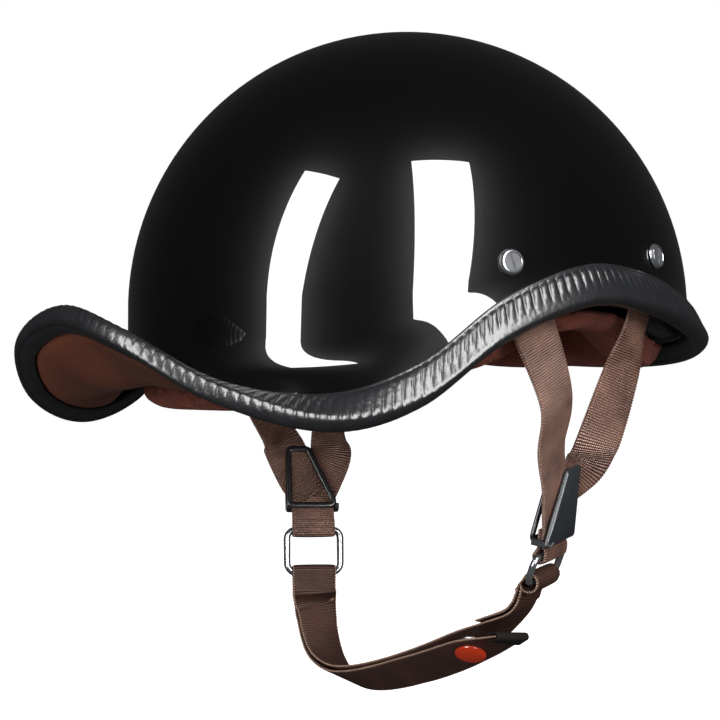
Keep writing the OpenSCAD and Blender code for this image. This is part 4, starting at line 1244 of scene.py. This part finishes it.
def divider_plate(side, body, name, made_of):
    """The outer plate with its raised slanting edge, and two posts"""
    h, b = divider_height / 2, divider_bottom / 2
    outline = rounded_outline(divider_corners(0), [1.6, 1.2, 2.4, 1.2])
    m = divider_half + divider_wall / 2
    centre = outline.mean(axis=0)
    rings = []
    for depth, inset in ((-0.8, 0.35), (-0.55, 0), (0.5, 0), (0.8, 0.4)):
        shrunk = outline + (centre - outline) * (inset / np.linalg.norm(centre - outline, axis=1))[:, None]
        rings.append([side.hung(a, m + depth, side.lift + z) for a, z in shrunk])
    plate = new_piece(name + "_moulded", np.vstack(rings), tube_faces(len(rings), len(outline), capped=True),
        made_of, 40)
    foot, top = (np.array(p) for p in divider_corners(rim_inset)[1:3])
    turned_in = [(-5.5, 0.6), (-3.2, -0.3), (-1.2, 0.3), (-0.3, 2.4)]
    rim_line = [foot + t for t in turned_in] + [foot + (top - foot) * u for u in (0.25, 0.5, 0.75, 0.98)]
    edge_line = np.array([side.hung(a, m + divider_wall / 2 + 0.1, side.lift + z) for a, z in rim_line])
    # The rim's light grey is a painted highlight
    rim = open_wire(name + "_rim", through(edge_line, 10), side.out(side.lean), rim_radius, highlight_rim_nylon)
    posts = []
    for where, a in (("rear", -1), ("front", 1)):
        wide, deep, tall = post_thick[0] / 2, divider_half + 0.2, post_thick[1] / 2
        corners = [side.hung(a * (b - 1.5) + x * wide, 0.25 + y * deep, side.lift - h + tall + z * tall)
            for z in (-1, 1) for y in (-1, 1) for x in (-1, 1)]
        posts.append(new_piece(f"{name}_post_{where}", corners, [(0, 1, 3, 2), (4, 5, 7, 6), (0, 1, 5, 4),
            (2, 3, 7, 6), (0, 2, 6, 4), (1, 3, 7, 5)], made_of, 30))
    for piece in [plate, rim] + posts:
        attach(piece, body)
    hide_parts(name)


# The left plate takes the lighter copy of the nylon as painted light; the right plate stays black
divider_plate(left, "left_divider", "left_divider_plate", lit_slate_nylon)
divider_frame(left, "left_divider", "left_divider_frame", nylon)
divider_plate(right, "right_divider", "right_divider_plate", nylon)
divider_frame(right, "right_divider", "right_divider_frame", nylon)

# Rings
# Chromed steel wire bent to rounded oblongs: one on the left joins the loop and the sewn chin strap,
# and two side by side on the right take the chin strap's adjustable end.
ring_width = 28.5
upper_bend = 4
lower_bend = 5


def ring(side, m, foot_bend, body, name):
    """A ring's wire, with its bends at the upper bar and at its foot"""
    w = (ring_width - ring_wire) / 2
    h = side.ring_height
    outline = []
    for x, z, bend, start in ((w - upper_bend, -upper_bend, upper_bend, 0),
            (upper_bend - w, -upper_bend, upper_bend, 90), (foot_bend - w, foot_bend - h, foot_bend, 180),
            (w - foot_bend, foot_bend - h, foot_bend, 270)):
        for k in range(13):
            a = math.radians(start + 7.5 * k)
            outline.append((x + bend * math.cos(a), z + bend * math.sin(a)))
    line = np.array([side.slung(x, m, z + h) for x, z in outline])
    piece = wire_round(name + "_chromed", line, side.out(side.ring_lean), ring_wire / 2, ring_wire / 2,
        chrome, turns=24)
    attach(piece, body)
    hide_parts(name)


ring(left, 0, upper_bend, "left_ring", "left_ring")
ring(right, right.pitch / 2, lower_bend, "right_outer_ring", "right_outer_ring")
ring(right, -right.pitch / 2, lower_bend, "right_inner_ring", "right_inner_ring")

# Chin strap
# One length of darker webbing with a light selvage. Its left end is sewn round the left ring, and
# its right end goes over the two right rings, folds back outside itself and ends in a free tail.
eye_play = 1.1
chin_eye = ring_wire / 2 + eye_play + strap_thickness / 2
# Stations [x, y, z, turn, roll] of the inner layer, from the left ring to the right ones
CHIN = [(*left.slung(0, -2.5, -6.4), -76, -4), (67, 2.4, -124.5, -78, -9), (55, 3, -132.6, -84, 8),
    (33.5, 4.2, -143.6, -90, 31), (9, 4.6, -154, -90, 38), (-15, 4.8, -162, -92, 37),
    (-37, 4.8, -167, -94, 32), (-53, 5.4, -167, -96, 24), (-65.5, 6.2, -160.5, -98, 14),
    (-72, 6.8, -150, -99, 5), (-75, 7.2, -138, -107, 0),
    (*right.slung(0, -right.pitch / 2 - chin_eye, -9), -118, 0)]
chin_steps = 3
chin_runs = through(CHIN, chin_steps)
chin_last = len(chin_runs) - 1
tip_step = 2 * chin_steps
sewn_step = 3 * chin_steps - 2
snap_step = 3 * chin_steps
hinge_step = 4 * chin_steps
chin_bead_length = 1.1
chin_bead_width = 0.95
sewn_offset = strap_thickness + 0.55
layer_offset = strap_thickness + 1
socket_height = 1.6
base_height = 0.8
snap_offset = strap_thickness + socket_height + base_height + 0.8
tip_droop = 0.9


def chin_frame(j):
    """Centre, way along the strap, width and outward normal at a step of the chin strap"""
    q = chin_runs[j]
    way = unit((chin_runs[min(chin_last, j + 1)] - chin_runs[max(0, j - 1)])[:3])
    turn, roll = math.radians(q[3]), math.radians(q[4])
    level = np.array([math.cos(roll) * math.cos(turn), math.cos(roll) * math.sin(turn), math.sin(roll)])
    wide = unit(level - (level @ way) * way)
    return q[:3], way, wide, np.cross(wide, way)


chin_frames = [chin_frame(j) for j in range(chin_last + 1)]


def outer_offset(j):
    """How far the outer layer lies from the inner one: apart at the snap, and closer further on"""
    spread = 1 if j <= snap_step else max(0, 1 - (j - snap_step) / 5)
    return layer_offset + (snap_offset - layer_offset) * spread + tip_droop * max(0, snap_step - j)


def laid(j, distance):
    """Point a distance out from the inner layer's middle, at a step"""
    return chin_frames[j][0] + distance * chin_frames[j][3]


def over_bars(side, turns, way):
    """Stations round the lower bars of the rings, from inside (0) to outside (8)"""
    stations = []
    for k in turns:
        b = math.radians(22.5 * k)
        m = (-1 if k <= 4 else 1) * side.pitch / 2 - chin_eye * math.cos(b)
        stations.append((side.slung(0, m, chin_eye * math.sin(b)),
            way * (math.sin(b) * side.rise(side.ring_lean) - math.cos(b) * side.out(side.ring_lean))))
    return stations


# Groove colour is painted shade, crest colour a painted highlight
chin_webbing = webbing_finish("chin_webbing_weave", colour(46, 27, 22), colour(86, 52, 41), 0.6, 0.1, 0.05,
    0.5)
chin_thread = grained("chin_selvage_thread", (184, 146, 120), (206, 166, 138), (136, 98, 78), 0.65, 0.3, 0.05,
    3)
left_out = left.out(left.ring_lean)
right_out = right.out(right.ring_lean)
inner_layer = ([(laid(j, -sewn_offset), -chin_frames[j][3]) for j in range(sewn_step, 0, -1)]
    + [(left.slung(0, -chin_eye - 0.9, -3.4), -left_out)] + over_bars(left, range(9), 1)
    + [(left.slung(0, chin_eye - 0.9, -3.1), left_out)]
    + [(laid(j, 0), chin_frames[j][3]) for j in range(chin_last + 1)] + over_bars(right, range(5), -1))
reach = right.pitch / 2 + chin_eye
return_layer = (over_bars(right, [4.3, 5, 6, 7, 8], -1)
    + [(right.slung(0, reach - 0.5, -4), -right_out), (right.slung(0, reach - 2.2, -9), -right_out)]
    + [(laid(j, outer_offset(j) + (3 if j == chin_last - 2 else 1 if j > chin_last - 5 else 0)),
        -chin_frames[j][3]) for j in range(chin_last - 2, hinge_step - 1, -1)])
tail_path = [(laid(hinge_step, outer_offset(hinge_step)) - 0.35 * chin_frames[hinge_step][1],
    -chin_frames[hinge_step][3])] + [(laid(j, outer_offset(j)), -chin_frames[j][3])
    for j in range(hinge_step - 1, tip_step - 1, -1)]

for name, stations, body in (("chin_strap", inner_layer, "harness"),
        ("chin_strap_return", return_layer, "harness"), ("strap_tail", tail_path, "tail")):
    piece, edges = webbing(name + "_webbing", stations, chin_webbing)
    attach(piece, body)
    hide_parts(name)
    selvage = bead_rows(name + "_selvage", edges, chin_bead_length, chin_bead_width, chin_thread)
    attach(selvage, body)

# Tail fold
# The strap's free end is closed by a dark tape folded over it and sewn across.
fold_length = 4.5
fold_wall = 0.8
fold_tape = grained("fold_tape_cloth", (30, 22, 20), (38, 28, 25), (20, 14, 13), 0.9, 0.5, 0.12, 4,
    Specular_IOR_Level=0.15)
tip, tip_out = tail_path[-1]
toward = unit(tail_path[-2][0] - tip)
tip_out = unit(tip_out - (tip_out @ toward) * toward)
mixed = fold_length / np.linalg.norm(tail_path[-2][0] - tip)
inner_out = unit(tail_path[-1][1] * (1 - mixed) + tail_path[-2][1] * mixed)
fold_reach = strap_thickness / 2 + 0.3 + fold_wall / 2


def fold_at(run, distance):
    """Point of the fold, a run back from the tail's tip and a distance inwards from its middle"""
    return tip + run * toward - distance * tip_out


fold_stations = [(tip + fold_length * toward + fold_reach * inner_out, inner_out),
    (fold_at(0, -fold_reach), tip_out), (fold_at(-0.75 * fold_reach, -0.7 * fold_reach), tip_out - toward),
    (fold_at(-fold_reach, 0), -toward), (fold_at(-0.75 * fold_reach, 0.7 * fold_reach), -tip_out - toward),
    (fold_at(0, fold_reach), -tip_out), (tip + fold_length * toward - fold_reach * inner_out, -inner_out)]
piece, _ = webbing("tail_fold_tape", fold_stations, fold_tape, strap_width + 0.4, fold_wall, 0.05)
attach(piece, "tail")
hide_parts("tail_fold")

# Snap
# A press stud closes the tail on the strap: an enamelled orange cap with its steel socket on the
# tail, and a steel stud on the inner layer with an enamelled back.
snap_radius = 7
snap_shank = 1.2
stud_radius = 2
snap_turns = 72
enamel = grained("snap_enamel_gloss", (226, 66, 30), (232, 72, 34), (214, 58, 26), 0.22, 1.2, 0.01, 6,
    Coat_Weight=0.4, Coat_Roughness=0.08)


def snap_piece(name, outline, distance, made_of, body, flip=False):
    """A turned piece set square on the strap, a distance out from the inner layer's middle"""
    piece = lathe(name, outline, made_of, snap_turns, 35)
    centre, way, wide, out = chin_frames[snap_step]
    axes = np.column_stack([way, wide, -out if flip else out])
    place_points(piece.data, read_points(piece.data) @ axes.T + (centre + distance * out) * MM)
    turn_outwards(piece.data)
    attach(piece, body)
    return piece


cap_base = strap_thickness / 2 + 0.55
cap = snap_piece("snap_cap_enamelled", [(0, -cap_base - 0.2), (snap_shank, -cap_base - 0.2),
    (snap_shank, cap_base), (snap_radius - 0.5, cap_base), (snap_radius - 0.1, cap_base + 0.15),
    (snap_radius, cap_base + 0.5), (snap_radius - 0.15, cap_base + 0.95), (snap_radius - 0.7, cap_base + 1.4),
    (snap_radius - 1.6, cap_base + 1.8), (snap_radius * 0.6, cap_base + 2.15),
    (snap_radius * 0.3, cap_base + 2.36), (0, cap_base + 2.42)], snap_offset, enamel, "tail")
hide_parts("snap_cap")
socket_top = snap_offset - strap_thickness / 2 - 0.25
socket_radius = snap_radius - 1.5
bore = snap_shank + 0.02
socket = snap_piece("snap_socket_pressed", [(bore, 0), (socket_radius - 0.3, 0), (socket_radius, -0.3),
    (socket_radius, -socket_height + 0.35), (socket_radius - 0.35, -socket_height),
    (stud_radius + 0.7, -socket_height), (stud_radius + 0.4, -socket_height + 0.3),
    (stud_radius + 0.4, -0.5), (bore, -0.5), (bore, 0)], socket_top, plain_steel, "tail")
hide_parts("snap_socket")
stud_top = base_height + socket_height - 0.75
shank_foot = -strap_thickness - 0.85
stud = snap_piece("snap_stud_turned", [(0, shank_foot), (snap_shank, shank_foot), (snap_shank, 0),
    (socket_radius - 0.2, 0), (socket_radius, 0.25), (socket_radius - 0.2, base_height - 0.1),
    (stud_radius + 0.3, base_height), (stud_radius - 0.15, base_height + 0.3), (stud_radius, stud_top - 0.4),
    (stud_radius - 0.35, stud_top), (0, stud_top)], strap_thickness / 2 + 0.25, plain_steel, "harness")
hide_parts("snap_stud")
back = snap_piece("snap_back_enamelled", [(0, 0.5), (bore, 0.5), (bore, 0), (4.8, 0), (5, 0.2), (5, 0.6),
    (4.6, 0.95), (3.6, 1.2), (0, 1.4)], -strap_thickness / 2 - 0.25, enamel, "harness",
    flip=True)
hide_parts("snap_back")
